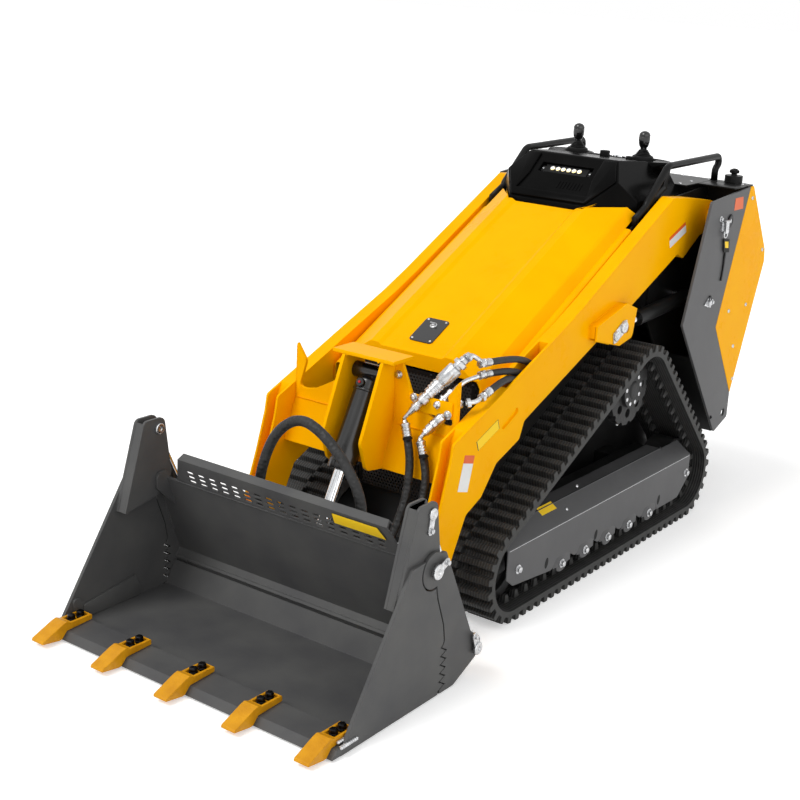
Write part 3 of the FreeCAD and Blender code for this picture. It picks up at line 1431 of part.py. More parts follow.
def make_spill_guard():
    """Slotted guard folded over the mouldboard's lip, with closed ends."""
    foot = (BOARD_TOP_Y, BOARD_TOP_Z + PIN_GAP)
    edge = (GUARD_EDGE_Y, GUARD_EDGE_Z)
    line = [foot, edge, (GUARD_EDGE_Y + 20, GUARD_TOP_Z), (GUARD_EDGE_Y + 31, GUARD_TOP_Z - 13)]
    sheet = strip(line, -GUARD_SHEET, -GUARD_FOOT_HALF, GUARD_FOOT_HALF)
    front = [
        (-GUARD_FOOT_HALF, BOARD_TOP_Z - 1),
        (GUARD_FOOT_HALF, BOARD_TOP_Z - 1),
        (GUARD_TOP_HALF, GUARD_TOP_Z + 1),
        (-GUARD_TOP_HALF, GUARD_TOP_Z + 1),
    ]
    reach = BOARD_TOP_Y - GUARD_EDGE_Y
    sheet = sheet.common(plate_y(front, GUARD_EDGE_Y - 1, BOARD_TOP_Y + reach))
    lean = math.atan2(GUARD_EDGE_Z - foot[1], foot[0] - GUARD_EDGE_Y)
    slots = []
    for row in range(GUARD_ROWS):
        along = GUARD_FIRST_ROW + row * GUARD_ROW_PITCH
        y = foot[0] - along * math.cos(lean)
        z = foot[1] + along * math.sin(lean)
        for i in range(GUARD_SLOTS):
            x = (i - (GUARD_SLOTS - 1) / 2) * GUARD_SLOT_PITCH
            slot = guard_slot()
            slot.rotate(Vec(0, 0, 0), Vec(1, 0, 0), 90 - math.degrees(lean))
            slot.translate(Vec(x, y, z))
            slots.append(slot)
    return sheet.cut(Part.makeCompound(slots))


def guard_slot():
    """Cutter for one slot of the guard, along Y, with chamfered ends."""
    half = GUARD_SLOT_LENGTH / 2
    tall = GUARD_SLOT_HEIGHT / 2
    chamfer = tall * 0.6
    right = [(half - chamfer, -tall), (half, chamfer - tall), (half, tall - chamfer), (half - chamfer, tall)]
    return plate_y(right + [(-x, z) for x, z in right[::-1]], -2 * GUARD_SHEET, 2 * GUARD_SHEET)


def loop_port(z):
    """(Y, Z) on the loop hose's line between the mouldboard and the hitch plate."""
    return board_point(z, BUCKET_PLATE + HITCH_GAP / 2)


def make_loop_hose():
    """Hose that arches over the guard between two ports behind the mouldboard."""
    start = (Vec(0, *loop_port(BOARD_TOP_Z)) - Vec(0, *loop_port(PORT_TOP_Z))).normalize() * PIN_GAP
    foot = Vec(0, *loop_port(PORT_TOP_Z)) + start
    neck = Vec(0, *loop_port(BOARD_TOP_Z + 10))
    near = Vec(PORT_FAR_X, 0, 0)
    far = Vec(-PORT_X, 0, 0)
    points = [
        far + foot,
        far + neck,
        Vec(-122, -1215, 550),
        Vec(-80, -1206, 652),
        Vec(5, -1203, 712),
        Vec(96, -1203, 682),
        Vec(186, -1205, 608),
        Vec(252, -1210, 520),
        near + neck,
        near + foot,
    ]
    return hose("loop hose", points, LOOP_HOSE_DIAMETER)


def jaw_side():
    """Outline of the jaw's side plate."""
    front = [
        (FLOOR_FRONT_Y, GROUND_GAP),
        (FLOOR_FRONT_Y + 15, EDGE_TOP_Z - 3, 8),
        (-1369, 443, 10),
        (JAW_PIVOT_Y - 20, 448),
        (JAW_PIVOT_Y, JAW_PIVOT_Z),
    ]
    return front + side_split(0, 0)


def make_jaw():
    """Front clam: floor with its rear slope, cutting edge and side plates with levers."""
    half = BUCKET_HALF_WIDTH
    plate = BUCKET_PLATE
    inner = half - plate - SIDE_GAP
    cheek = plate_x(jaw_side(), inner, half)
    cheek = cheek.cut(pin_x(inner, half, JAW_PIVOT_Y, JAW_PIVOT_Z, 2 * (JAW_BOSS + SPLIT_GAP)))
    floor_z = GROUND_GAP + plate
    floor_line = [(JAW_REAR_TOP_Y, JAW_REAR_TOP_Z), (CREASE_Y, floor_z), (FLOOR_FRONT_Y, floor_z)]
    floor = strip(floor_line, plate, -inner, inner)
    edge = [
        (EDGE_FRONT_Y, GROUND_GAP + 2),
        (EDGE_FRONT_Y + EDGE_DEPTH, GROUND_GAP),
        (EDGE_FRONT_Y + EDGE_DEPTH, EDGE_TOP_Z),
        (EDGE_FRONT_Y + 20, EDGE_TOP_Z - 4),
    ]
    blade = plate_x(edge, -half, half)
    gusset = plate_x([(-1590, floor_z - 1), (-1500, floor_z - 1), (-1575, 88, 12), (-1600, 88, 12)], inner - 6, inner)
    lever = [
        (-1420, 330),
        (JAW_EYE_Y - 62, JAW_EYE_Z + 34, 20),
        (JAW_EYE_Y + 24, JAW_EYE_Z + 34, 24),
        (JAW_PIVOT_Y + 44, JAW_PIVOT_Z + 10, 30),
        (JAW_PIVOT_Y + 20, JAW_PIVOT_Z - 40, 30),
        (JAW_PIVOT_Y - 50, JAW_PIVOT_Z - 60),
    ]
    outer_x = inner - LEVER_PLATE
    inner_x = CYLINDER_X - JAW_EYE_WIDTH / 2 - SIDE_GAP - LEVER_PLATE
    outer = plate_x(lever, outer_x, inner)
    inside = plate_x(lever, inner_x, inner_x + LEVER_PLATE)
    web = plate_x([(-1420, 330), (JAW_EYE_Y - 62, JAW_EYE_Z + 26), (JAW_EYE_Y - 50, JAW_EYE_Z + 20), (-1408, 326)], inner_x, inner)
    bore = JAW_PIVOT_DIAMETER + 2 * PIN_GAP
    body = fuse([floor, blade, cheek, mirrored(cheek), gusset, mirrored(gusset)])
    for piece in (outer, inside, web):
        body = body.fuse([piece, mirrored(piece)])
    body = body.cut(pin_x(-inner, inner, JAW_PIVOT_Y, JAW_PIVOT_Z, bore))
    for plane in (outer_x, inner_x):
        hole = pin_x(plane, plane + LEVER_PLATE, JAW_EYE_Y, JAW_EYE_Z, JAW_PIN)
        body = body.cut([hole, mirrored(hole)])
    return body.removeSplitter()


def make_teeth():
    """Bolt-on teeth with channel shanks, evenly spaced on the cutting edge."""
    teeth = []
    shank_rear = EDGE_FRONT_Y + EDGE_DEPTH + 5
    nose = EDGE_FRONT_Y + 12
    outline = [
        (TOOTH_TIP_Y, TOOTH_TIP_Z - 4),
        (TOOTH_TIP_Y + 2, TOOTH_TIP_Z + 5),
        (nose - 12, TOOTH_TOP_Z, 14),
        (nose + 6, TOOTH_TOP_Z + 5, 8),
        (nose + 22, TOOTH_TOP_Z - 2, 8),
        (shank_rear, TOOTH_TOP_Z - 3, 6),
        (shank_rear, EDGE_TOP_Z),
        (EDGE_FRONT_Y + EDGE_DEPTH, EDGE_TOP_Z),
        (EDGE_FRONT_Y + 20, EDGE_TOP_Z - 4),
        (EDGE_FRONT_Y, GROUND_GAP + 2),
        (EDGE_FRONT_Y - 10, GROUND_GAP + 1),
    ]
    half = TOOTH_WIDTH / 2
    tooth = plate_x(outline, -half, half)
    channel = half - TOOTH_WALL
    floor = EDGE_TOP_Z + TOOTH_WALL
    tooth = tooth.cut(box(-channel, channel, nose + 28, shank_rear - TOOTH_WALL, floor, TOOTH_TOP_Z + 10))
    for i in range(TOOTH_COUNT):
        copy = tooth.copy()
        copy.translate(Vec((i - (TOOTH_COUNT - 1) / 2) * TOOTH_PITCH, 0, 0))
        teeth.append(copy)
    return teeth


# ---------------------------------------------------------------- hood
def make_hood():
    """Pressed hood with two ridges, falling shoulders and a front skirt."""
    half = HOOD_HALF_WIDTH
    ridge = RIDGE_HALF_WIDTH
    top = [
        (-half, -HOOD_DROP),
        (-half + 25, -62, 10),
        (-ridge - 30, 0, 12),
        (-ridge, 0, 8),
        (-ridge + 14, -8, 8),
        (ridge - 14, -8, 8),
        (ridge, 0, 8),
        (ridge + 30, 0, 12),
        (half - 25, -62, 10),
        (half, -HOOD_DROP),
    ]
    angle = math.radians(HOOD_SLOPE)
    length = (HOOD_CORNER_Y + 60 - HOOD_FRONT_Y) / math.cos(angle)
    along = Vec(0, math.cos(angle), math.sin(angle)) * length
    start = Vec(0, HOOD_FRONT_Y, hood_plane(HOOD_FRONT_Y))

    def shell(drop, skin):
        points = [(x * (half - skin) / half, z - drop) + tuple(r) for x, z, *r in top]
        points += [(half - skin, -HOOD_DROP - 200), (skin - half, -HOOD_DROP - 200)]
        wire = round_wire(points, lambda p: start + Vec(p.x, 0, p.y))
        return Part.Face(wire).extrude(along)

    skin = HOOD_SKIN
    solid = shell(0, 0)
    lower = plate_x([
        (HOOD_FRONT_Y, hood_plane(HOOD_FRONT_Y) - HOOD_DROP),
        (HOOD_CORNER_Y + 60, hood_plane(HOOD_CORNER_Y + 60) - HOOD_DROP),
        (HOOD_CORNER_Y + 60, 1600),
        (HOOD_FRONT_Y, 1600),
    ], -half, half)
    inside = shell(skin, skin)
    inside.translate(Vec(0, skin, 0))
    knee = ridge + 20
    plan = [
        (-half, HOOD_FRONT_Y),
        (half, HOOD_FRONT_Y),
        (half, hood_rear_y(half)),
        (knee, hood_rear_y(knee)),
        (-knee, hood_rear_y(knee)),
        (-half, hood_rear_y(half)),
    ]
    cover = solid.common(lower).cut(inside)
    cover = cover.common(plate_z(plan, 0, hood_plane(HOOD_CORNER_Y) + HOOD_DROP))
    reach = half - 3 * skin
    cover = cover.cut(box(-reach, reach, HOOD_FRONT_Y - 1, HOOD_FRONT_Y + 2 * skin, 0, HOOD_SKIRT_Z))
    arm = hinge_arm()
    return fuse([cover, arm, mirrored(arm)])


def hinge_arm():
    """Gooseneck of the left hood hinge, round the console's front wall."""
    reach = math.hypot(HOOD_HINGE_Y - RIDGE_REAR_Y, HOOD_HINGE_Z - RIDGE_REAR_Z) + 4
    wide = reach + 12
    centre = (HOOD_HINGE_Y, HOOD_HINGE_Z)
    x0 = HINGE_X
    x1 = HINGE_X + HINGE_WIDTH
    ring = pin_x(x0, x1, centre[0], centre[1], 2 * wide)
    ring = ring.cut(pin_x(x0, x1, centre[0], centre[1], 2 * reach))
    quarter = box(x0, x1, centre[0] - wide, centre[0], centre[1] - wide, centre[1] - 14)
    ring = ring.common(quarter)
    leg = box(x0, x1, centre[0] - 9, centre[0] + 9, centre[1] - wide, centre[1])
    eye = pin_x(x0, x1, centre[0], centre[1], HINGE_PIN + 16)
    tab_y = centre[0] - wide
    tab_z = hood_plane(tab_y) - 8 - HOOD_SKIN
    tab = [(tab_y - 60, hood_plane(tab_y - 60) - 10 - HOOD_SKIN), (tab_y + 9, tab_z), (tab_y + 9, centre[1] - 42), (tab_y + 1, centre[1] - 40)]
    body = fuse([ring, leg, eye, plate_x(tab, x0, x1)])
    return body.cut(pin_x(x0, x1, centre[0], centre[1], HINGE_PIN + 2 * PIN_GAP))


def make_hood_plate():
    """Bolted cover plate on the hood's nose."""
    z = hood_plane(-550) - 8
    plate = box(-45, 45, -60, 60, 0, 4)
    plate = plate.makeFillet(12, [e for e in plate.Edges if e.Length < 5])
    plate.rotate(Vec(0, 0, 0), Vec(1, 0, 0), HOOD_SLOPE)
    plate.translate(Vec(0, -550, z))
    return plate


# ---------------------------------------------------------------- write the nodes
def main():
    os.makedirs("parts", exist_ok=True)
    track = make_track()
    save("track_left", [track])
    save("track_right", [mirrored(track)])
    rollers = make_rollers()
    save("rollers", rollers + [mirrored(r) for r in rollers])
    idlers = make_idlers()
    save("idlers", idlers + [mirrored(i) for i in idlers])
    sprocket = make_sprocket()
    save("sprockets", [sprocket, mirrored(sprocket)])
    beam = make_track_frame()
    save("track_frames", [beam, mirrored(beam)])
    cover = make_track_cover()
    save("track_covers", [cover, mirrored(cover)])
    save("main_frame", [make_main_frame()])
    save("front_grille", [make_front_grille()])
    save("engine_block", [make_engine_block()])
    plate = make_tower_plate()
    save("tower_plates", [plate, mirrored(plate)])
    tower = make_tower_frame()
    save("tower_frames", [tower, mirrored(tower)])
    panel = make_side_panel()
    save("side_panels", [panel, mirrored(panel)])
    save("rear_body", [make_rear_body()])
    save("deck", make_deck())
    save("thigh_pad", [make_thigh_pad()])
    save("platform", [make_platform()])
    save("console", [make_console()])
    save("light_bar", [make_light_bar()])
    stick = make_joystick()
    save("joysticks", [stick, mirrored(stick)])
    rail = make_handrail()
    save("handrails", [rail, mirrored(rail)])
    pins = make_boom_pins()
    save("boom_pins", pins + [mirrored(p) for p in pins])
    arm = make_arm()
    save("boom_arm_left", [arm.cut(hose_pocket())])
    save("boom_arm_right", [mirrored(arm)])
    save("boom_crossmember", [make_crossmember()])
    save("aux_couplers", make_couplers())
    save("boom_hoses", make_boom_hoses())
    save("bucket_hoses", make_bucket_hoses())
    body, rod = make_lift()
    save("lift_barrel_left", [body])
    save("lift_barrel_right", [mirrored(body)])
    save("lift_rod_left", [rod])
    save("lift_rod_right", [mirrored(rod)])
    body, rod = make_tilt()
    save("tilt_barrel", [body])
    save("tilt_rod", [rod])
    body, rod = make_jaw_cylinder()
    save("jaw_barrel_left", [body])
    save("jaw_barrel_right", [mirrored(body)])
    save("jaw_rod_left", [rod])
    save("jaw_rod_right", [mirrored(rod)])
    save("quick_attach", [make_quick_attach()])
    save("bucket_back", [make_bucket_back()])
    save("spill_guard", [make_spill_guard()])
    save("loop_hose", [make_loop_hose()])
    save("jaw", [make_jaw()])
    save("jaw_teeth", make_teeth())
    save("hood", [make_hood()])
    save("hood_plate", [make_hood_plate()])


main()
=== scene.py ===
"""Stand-on compact track loader with a four-in-one bucket: finishes, hoses and fittings.

Places are written in millimetres as (X to the machine's left, Y back from the middle
of the track loop, Z up) and turned into the frame's metres by place().
"""
import bmesh
import bpy
import math
from mathutils import Matrix, Vector


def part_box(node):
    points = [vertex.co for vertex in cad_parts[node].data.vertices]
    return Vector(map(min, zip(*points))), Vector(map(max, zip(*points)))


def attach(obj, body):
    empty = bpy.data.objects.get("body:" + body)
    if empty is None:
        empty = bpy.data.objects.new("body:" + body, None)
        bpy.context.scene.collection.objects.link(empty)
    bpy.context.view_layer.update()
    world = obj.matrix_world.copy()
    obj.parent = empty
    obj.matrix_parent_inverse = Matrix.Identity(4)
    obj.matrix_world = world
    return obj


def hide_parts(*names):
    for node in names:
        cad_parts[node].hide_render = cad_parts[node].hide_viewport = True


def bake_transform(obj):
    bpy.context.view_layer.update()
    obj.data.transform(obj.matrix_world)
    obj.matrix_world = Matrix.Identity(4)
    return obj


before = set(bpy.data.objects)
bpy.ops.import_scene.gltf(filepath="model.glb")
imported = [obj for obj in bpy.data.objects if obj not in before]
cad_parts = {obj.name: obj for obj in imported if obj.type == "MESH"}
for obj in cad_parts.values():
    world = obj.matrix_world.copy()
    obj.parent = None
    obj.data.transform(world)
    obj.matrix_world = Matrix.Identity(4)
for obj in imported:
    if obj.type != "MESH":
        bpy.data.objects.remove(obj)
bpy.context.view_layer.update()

# ---------------------------------------------------------------- measures of the machine
TOOTH_TIP_Y = -1765.0
TOOTH_PITCH = 255.0
SHIFT = Vector((0.0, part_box("jaw_teeth")[0].y - TOOTH_TIP_Y / 1000, 0.0))
ARM_FACE_X = 368.0
BRACKET_X = 400.0
TOWER_X = 455.0
COVER_X = 448.0
WING_Y = -838.0
BOOM_HOSE = 22.0
BUCKET_HOSE = 26.0
LOOP_HOSE = 32.0
HOSE_SIDES = 6
PIPE_SIDES = 4
FLAT_ANGLE = 1.0
SHARP_ANGLE = 32.0


def place(x, y, z):
    """A point of the machine in the frame's metres."""
    return Vector((x, y, z)) / 1000 + SHIFT


def linear(code):
    """The linear colour of an sRGB hex code."""
    values = [int(code[i:i + 2], 16) / 255 for i in (0, 2, 4)]
    return tuple(v / 12.92 if v <= 0.04045 else ((v + 0.055) / 1.055) ** 2.4 for v in values) + (1.0,)


def axes(across, up, out):
    """The matrix that turns a form's X, Y and Z to three directions."""
    return Matrix((across, up, out)).transposed().to_4x4()


def stand(name, data):
    """A new object in the scene."""
    piece = bpy.data.objects.new(name, data)
    bpy.context.scene.collection.objects.link(piece)
    return piece


# ---------------------------------------------------------------- camera
EYE = place(2566.4, -4308.4, 1995.7)
RIGHT = Vector((0.80486, 0.59113, 0.05262))
UP = Vector((-0.21226, 0.20393, 0.95570))
camera_data = bpy.data.cameras.new("studio_camera")
camera_data.lens = 64.68
camera_data.sensor_width = 36.0
camera = stand("studio_camera", camera_data)
camera.matrix_world = Matrix.Translation(EYE) @ axes(RIGHT, UP, RIGHT.cross(UP))
bpy.context.scene.camera = camera
bpy.context.scene.view_settings.view_transform = "Standard"


# ---------------------------------------------------------------- node materials
NOISE, CELLS, WAVES = "ShaderNodeTexNoise", "ShaderNodeTexVoronoi", "ShaderNodeTexWave"
PATTERN_OUTPUT = {NOISE: "Fac", CELLS: "Distance", WAVES: "Fac"}


def add_node(material, kind, settings=(), links=()):
    """A shader node with its settings and its inputs joined to other nodes' outputs."""
    node = material.node_tree.nodes.new(kind)
    for name, value in dict(settings).items():
        if name == "stops":
            elements = node.color_ramp.elements
            while len(elements) < len(value):
                elements.new(0.5)
            for element, (position, code) in zip(elements, value):
                element.position = position
                element.color = linear(code)
        elif isinstance(name, int) or name in node.inputs:
            node.inputs[name].default_value = value
        else:
            setattr(node, name, value)
    for name, source in dict(links).items():
        material.node_tree.links.new(source, node.inputs[name])
    return node


def per_metre(millimetres):
    """Pattern scale whose features are that many millimetres across."""
    return 1000.0 / millimetres


def patterned(name, *patterns):
    """A node material and the outputs of its patterns, given as (kind, size in millimetres, settings)."""
    material = bpy.data.materials.new(name)
    material.use_nodes = True
    material.node_tree.nodes.clear()
    at = add_node(material, "ShaderNodeTexCoord").outputs["Object"]
    found = []
    for kind, size, settings in patterns:
        node = add_node(material, kind, {"Scale": per_metre(size), **settings}, {"Vector": at})
        found.append(node.outputs[PATTERN_OUTPUT[kind]])
    return material, *found


def surface(material, stops, tone, gloss, sheen, height, relief_mm, settings):
    """The shader: a colour ramp along tone, a range of roughness along sheen, and relief."""
    colour = add_node(material, "ShaderNodeValToRGB", {"stops": stops}, {"Fac": tone})
    rough = add_node(material, "ShaderNodeMapRange", {"To Min": gloss[0], "To Max": gloss[1]}, {"Value": sheen})
    bump = add_node(material, "ShaderNodeBump", {"Distance": relief_mm / 1000}, {"Height": height})
    shader = add_node(material, "ShaderNodeBsdfPrincipled", settings, {
        "Base Color": colour.outputs["Color"], "Roughness": rough.outputs["Result"], "Normal": bump.outputs["Normal"],
    })
    add_node(material, "ShaderNodeOutputMaterial", links={"Surface": shader.outputs["BSDF"]})
    return material


def cloudy(dark, light):
    """The stops of a ramp between the two tones of an almost even colour."""
    return (0.3, dark), (0.7, light)


def powder_coat(name, dark, light, roughness, specular, peel_mm=0.05):
    """Baked powder on steel sheet: an even colour, orange peel and a slightly cloudy gloss."""
    # The peel's cells are about 2 mm; drawn at 6 mm, which still shows at arm's length.
    material, peel, cloud, dust = patterned(
        name, (NOISE, 6, {"Detail": 2.0}), (NOISE, 160, {"Detail": 4.0}),
        (NOISE, 28, {"Detail": 6.0, "Roughness": 0.7}),
    )
    haze = add_node(material, "ShaderNodeMath", {"operation": "MULTIPLY"}, {0: cloud, 1: dust}).outputs["Value"]
    gloss = (roughness - 0.06, roughness + 0.12)
    return surface(material, cloudy(dark, light), cloud, gloss, haze, peel, peel_mm, {"Specular IOR Level": specular})


def bright_metal(name, dark, light, roughness, grain_mm, relief_mm):
    """Plated or turned metal: mirror-like, with the grain of its last working."""
    material, grain, cloud = patterned(name, (NOISE, grain_mm, {"Detail": 3.0}), (NOISE, 14, {"Detail": 3.0}))
    gloss = (roughness * 0.6, roughness * 1.5)
    return surface(material, cloudy(dark, light), cloud, gloss, grain, grain, relief_mm, {"Metallic": 1.0})


def cast_surface(name, dark, light, roughness, relief_mm):
    """Sand-cast or forged steel under paint: pebbled skin that scatters the light."""
    material, sand, pits, cloud = patterned(
        name, (NOISE, 4, {"Detail": 5.0}), (CELLS, 9, {}), (NOISE, 45, {"Detail": 4.0}),
    )
    height = add_node(material, "ShaderNodeMath", {"operation": "ADD"}, {0: sand, 1: pits}).outputs["Value"]
    gloss = (roughness - 0.08, roughness + 0.12)
    return surface(material, cloudy(dark, light), cloud, gloss, sand, height, relief_mm, {"Specular IOR Level": 0.25})


def track_rubber(name):
    """Vulcanised track rubber: carbon black, moulded ribs across each lug with a painted highlight along them, and a
    dusty bloom.
    """
    # The ribs are about 4 mm apart; drawn 10 mm apart, so that they show at arm's length.
    # A wave pattern repeats every pi / 10 of its scale.
    material, ribs, bloom = patterned(
        name, (WAVES, 10 * 10 / math.pi, {"bands_direction": "X", "Distortion": 0.0}),
        (NOISE, 40, {"Detail": 6.0, "Roughness": 0.65}),
    )
    # The tone is the dusty bloom plus the ribs' wave: the ribs are painted lighter as a highlight along their crests.
    dust_and_rib_highlight = add_node(material, "ShaderNodeMath", {"operation": "MULTIPLY_ADD", 1: 0.4}, {0: ribs, 2: bloom})
    stops = ((0.4, "141414"), (0.95, "3A3A39"))
    return surface(
        material, stops, dust_and_rib_highlight.outputs["Value"], (0.5, 0.8), bloom, ribs, 1.4, {"Specular IOR Level": 0.3},
    )


def hose_sleeve(name, dark, light, pitch_mm, relief_mm):
    """Hydraulic hose cover: black synthetic rubber or a nylon sleeve with its crossing threads."""
    material, weave, cloud = patterned(name, (CELLS, pitch_mm, {"Randomness": 0.4}), (NOISE, 24, {"Detail": 5.0}))
    folds = add_node(material, "ShaderNodeMath", {"operation": "MULTIPLY_ADD", 1: 2.0}, {0: cloud, 2: weave})
    return surface(
        material, cloudy(dark, light), cloud, (0.42, 0.64), cloud, folds.outputs["Value"], relief_mm,
        {"Specular IOR Level": 0.35},
    )


def moulded_plastic(name, dark, light, roughness, grain_mm, relief_mm, specular=0.3):
    """Moulded ABS or nylon: dense colour, the mould's fine grain and a soft highlight."""
    material, grain, cloud = patterned(name, (NOISE, grain_mm, {"Detail": 2.0}), (NOISE, 90, {"Detail": 4.0}))
    gloss = (roughness - 0.05, roughness + 0.1)
    return surface(
        material, cloudy(dark, light), cloud, gloss, cloud, grain, relief_mm, {"Specular IOR Level": specular},
    )


def lit_lens(name):
    """Warm white diode behind a clear polycarbonate lens: a bright core with a yellow rim."""
    material, cloud = patterned(name, (NOISE, 5, {"Detail": 2.0}))
    stops = ((0.35, "FFDC8C"), (0.65, "FFF0C4"))
    colour = add_node(material, "ShaderNodeValToRGB", {"stops": stops}, {"Fac": cloud}).outputs["Color"]
    shader = add_node(material, "ShaderNodeBsdfPrincipled", {"Roughness": 0.12, "Emission Strength": 1.1}, {
        "Base Color": colour, "Emission Color": colour,
    })
    add_node(material, "ShaderNodeOutputMaterial", links={"Surface": shader.outputs["BSDF"]})
    return material


# Gloss polyester powder on welded plate: deep warm yellow, soft reflections, faint orange peel.
YELLOW = powder_coat("gloss_powder_coat_yellow", "FDB000", "FFB800", 0.30, 0.02)
# Satin powder on pressed covers: a mid grey that keeps its tone, with a low sheen on the creases.
GREY = powder_coat("satin_powder_coat_grey", "505051", "585859", 0.40, 0.16)
# Satin powder on frames and rails: near black, lifted only where it faces the sky.
BLACK = powder_coat("satin_powder_coat_black", "131313", "1C1C1C", 0.36, 0.12)
# Satin powder on the bucket's plate: graphite, a little cloudy from the mill scale below.
BUCKET = powder_coat("satin_powder_coat_graphite", "4A4A4B", "565655", 0.42, 0.16)
# Gloss enamel on small plates: deep black with clear, narrow highlights.
GLOSS_BLACK = powder_coat("gloss_enamel_black", "161617", "202021", 0.18, 0.7, 0.01)
# Enamelled cylinder tube: deep black with one broad bright streak along it.
TUBE_BLACK = powder_coat("enamelled_tube_black", "0D0D0D", "131313", 0.26, 0.6, 0.01)
# Perforated sheet under thin satin powder: a worn dark grey, so that the holes read black.
SHEET_BLACK = powder_coat("satin_powder_coat_sheet", "2E2E2F", "3A3A3A", 0.42, 0.2)
# Cast alloy steel teeth dipped in ochre enamel: a pebbled skin, duller than the machine's yellow.
TOOTH = cast_surface("cast_steel_ochre_enamel", "C98806", "DB9A10", 0.42, 0.5)
# Cast iron under black paint: sandy, with almost no shine.
CASTING = cast_surface("cast_iron_black_paint", "1E1E1E", "2C2C2C", 0.5, 0.4)
# Bright zinc plate on turned steel: silvery with slightly darker, softer patches.
ZINC = bright_metal("zinc_plate_bright", "A9AAAC", "D6D7D8", 0.26, 5, 0.012)
# Ground hard chrome: a clean mirror.
CHROME = bright_metal("hard_chrome", "D6D8DA", "E6E7E9", 0.08, 6, 0.001)
# Bare weld metal: bright, coarse and a little blued by the heat; also laid along the track covers' folds as a painted
# highlight.
WELD_AND_HIGHLIGHT_STEEL = bright_metal("bare_weld_steel_and_painted_highlight", "B9BABC", "DDDEDF", 0.42, 4, 0.05)
# Black oxide on bolts: dark metal with oily highlights.
BLACK_BOLT = bright_metal("black_oxide_steel", "1B1B1D", "2A2A2C", 0.35, 2, 0.02)
# Moulded track rubber: matt black, with grey dust and a painted highlight along its ribs.
RUBBER = track_rubber("vulcanised_track_rubber")
# Wrapped hydraulic hose: matt black with the wrap's cloth mark.
HOSE = hose_sleeve("hydraulic_hose_rubber", "242425", "343434", 5, 0.5)
# Woven nylon sleeve over a hose: charcoal, softly crumpled along its length.
SLEEVE = hose_sleeve("woven_nylon_hose_sleeve", "171717", "2A2A2A", 13, 2.4)
# Gloss moulded ABS: dense black with long clear highlights on its folds.
ABS_BLACK = moulded_plastic("moulded_abs_gloss_black", "080808", "0D0D0D", 0.2, 3, 0.02, 0.03)
# Glass-filled nylon: matt black.
NYLON = moulded_plastic("moulded_nylon_matt_black", "0F0F0F", "191919", 0.5, 1.5, 0.1, 0.12)
# Phenolic knobs: polished black with a small hard highlight.
KNOB_BLACK = moulded_plastic("phenolic_knob_black", "0B0B0B", "131313", 0.1, 3, 0.01, 0.6)
# Red ABS buttons.
BUTTON_RED = moulded_plastic("moulded_abs_red", "A8121A", "BE1820", 0.3, 3, 0.02)
# Printed vinyl films: flat colour with a plastic sheen.
LABEL_YELLOW = moulded_plastic("vinyl_film_yellow", "FFD024", "FFD834", 0.35, 5, 0.02, 0.08)
LABEL_ORANGE = moulded_plastic("vinyl_film_orange", "DB5A18", "E5641F", 0.35, 5, 0.02)
LABEL_WHITE = moulded_plastic("vinyl_film_white", "DCDCDA", "EAEAE8", 0.35, 5, 0.02)
LABEL_BLACK = moulded_plastic("vinyl_film_black", "121212", "1B1B1B", 0.35, 5, 0.02)
# Embossed vinyl over foam: black with a leather grain and soft folds of light.
PAD_VINYL = moulded_plastic("embossed_vinyl_black", "161616", "202020", 0.46, 4, 0.6)
DIODE = lit_lens("polycarbonate_lens_warm_white")

# ---------------------------------------------------------------- finishes of the CAD nodes
# Finish, width of the broken edges in millimetres, nodes.
NODE_FINISH = (
    (YELLOW, 1.5, ("hood", "boom_arm_left", "boom_arm_right", "boom_crossmember")),
    (YELLOW, 1.0, ("side_panels",)),
    (GREY, 1.4, ("tower_plates",)),
    (GREY, 3.2, ("track_covers",)),
    (BLACK, 1.5, ("main_frame", "tower_frames", "track_frames", "deck", "quick_attach")),
    (BLACK, 2.0, ("rear_body", "platform")),
    (BLACK, 0.0, ("handrails",)),
    (CASTING, 4.0, ("engine_block",)),
    (BUCKET, 1.2, ("bucket_back", "jaw")),
    (BUCKET, 0.8, ("spill_guard",)),
    (TOOTH, 2.5, ("jaw_teeth",)),
    (SHEET_BLACK, 0.5, ("front_grille",)),
    (RUBBER, 2.5, ("track_left", "track_right")),
    (CASTING, 2.0, ("idlers",)),
    (CASTING, 1.5, ("rollers",)),
    (CASTING, 1.0, ("sprockets",)),
    (ABS_BLACK, 2.5, ("console",)),
    (NYLON, 1.0, ("light_bar",)),
    (GLOSS_BLACK, 0.8, ("hood_plate",)),
    (KNOB_BLACK, 1.0, ("joysticks",)),
    (PAD_VINYL, 0.0, ("thigh_pad",)),
    (BLACK, 1.0, ("lift_barrel_left", "lift_barrel_right")),
    (GLOSS_BLACK, 1.0, ("tilt_barrel",)),
    (BUCKET, 1.0, ("jaw_barrel_left", "jaw_barrel_right")),
    (CHROME, 0.5, ("lift_rod_left", "lift_rod_right", "tilt_rod", "jaw_rod_left", "jaw_rod_right")),
    (ZINC, 1.0, ("boom_pins", "aux_couplers")),
    (HOSE, 0.0, ("boom_hoses",)),
    (SLEEVE, 0.0, ("bucket_hoses", "loop_hose")),
)


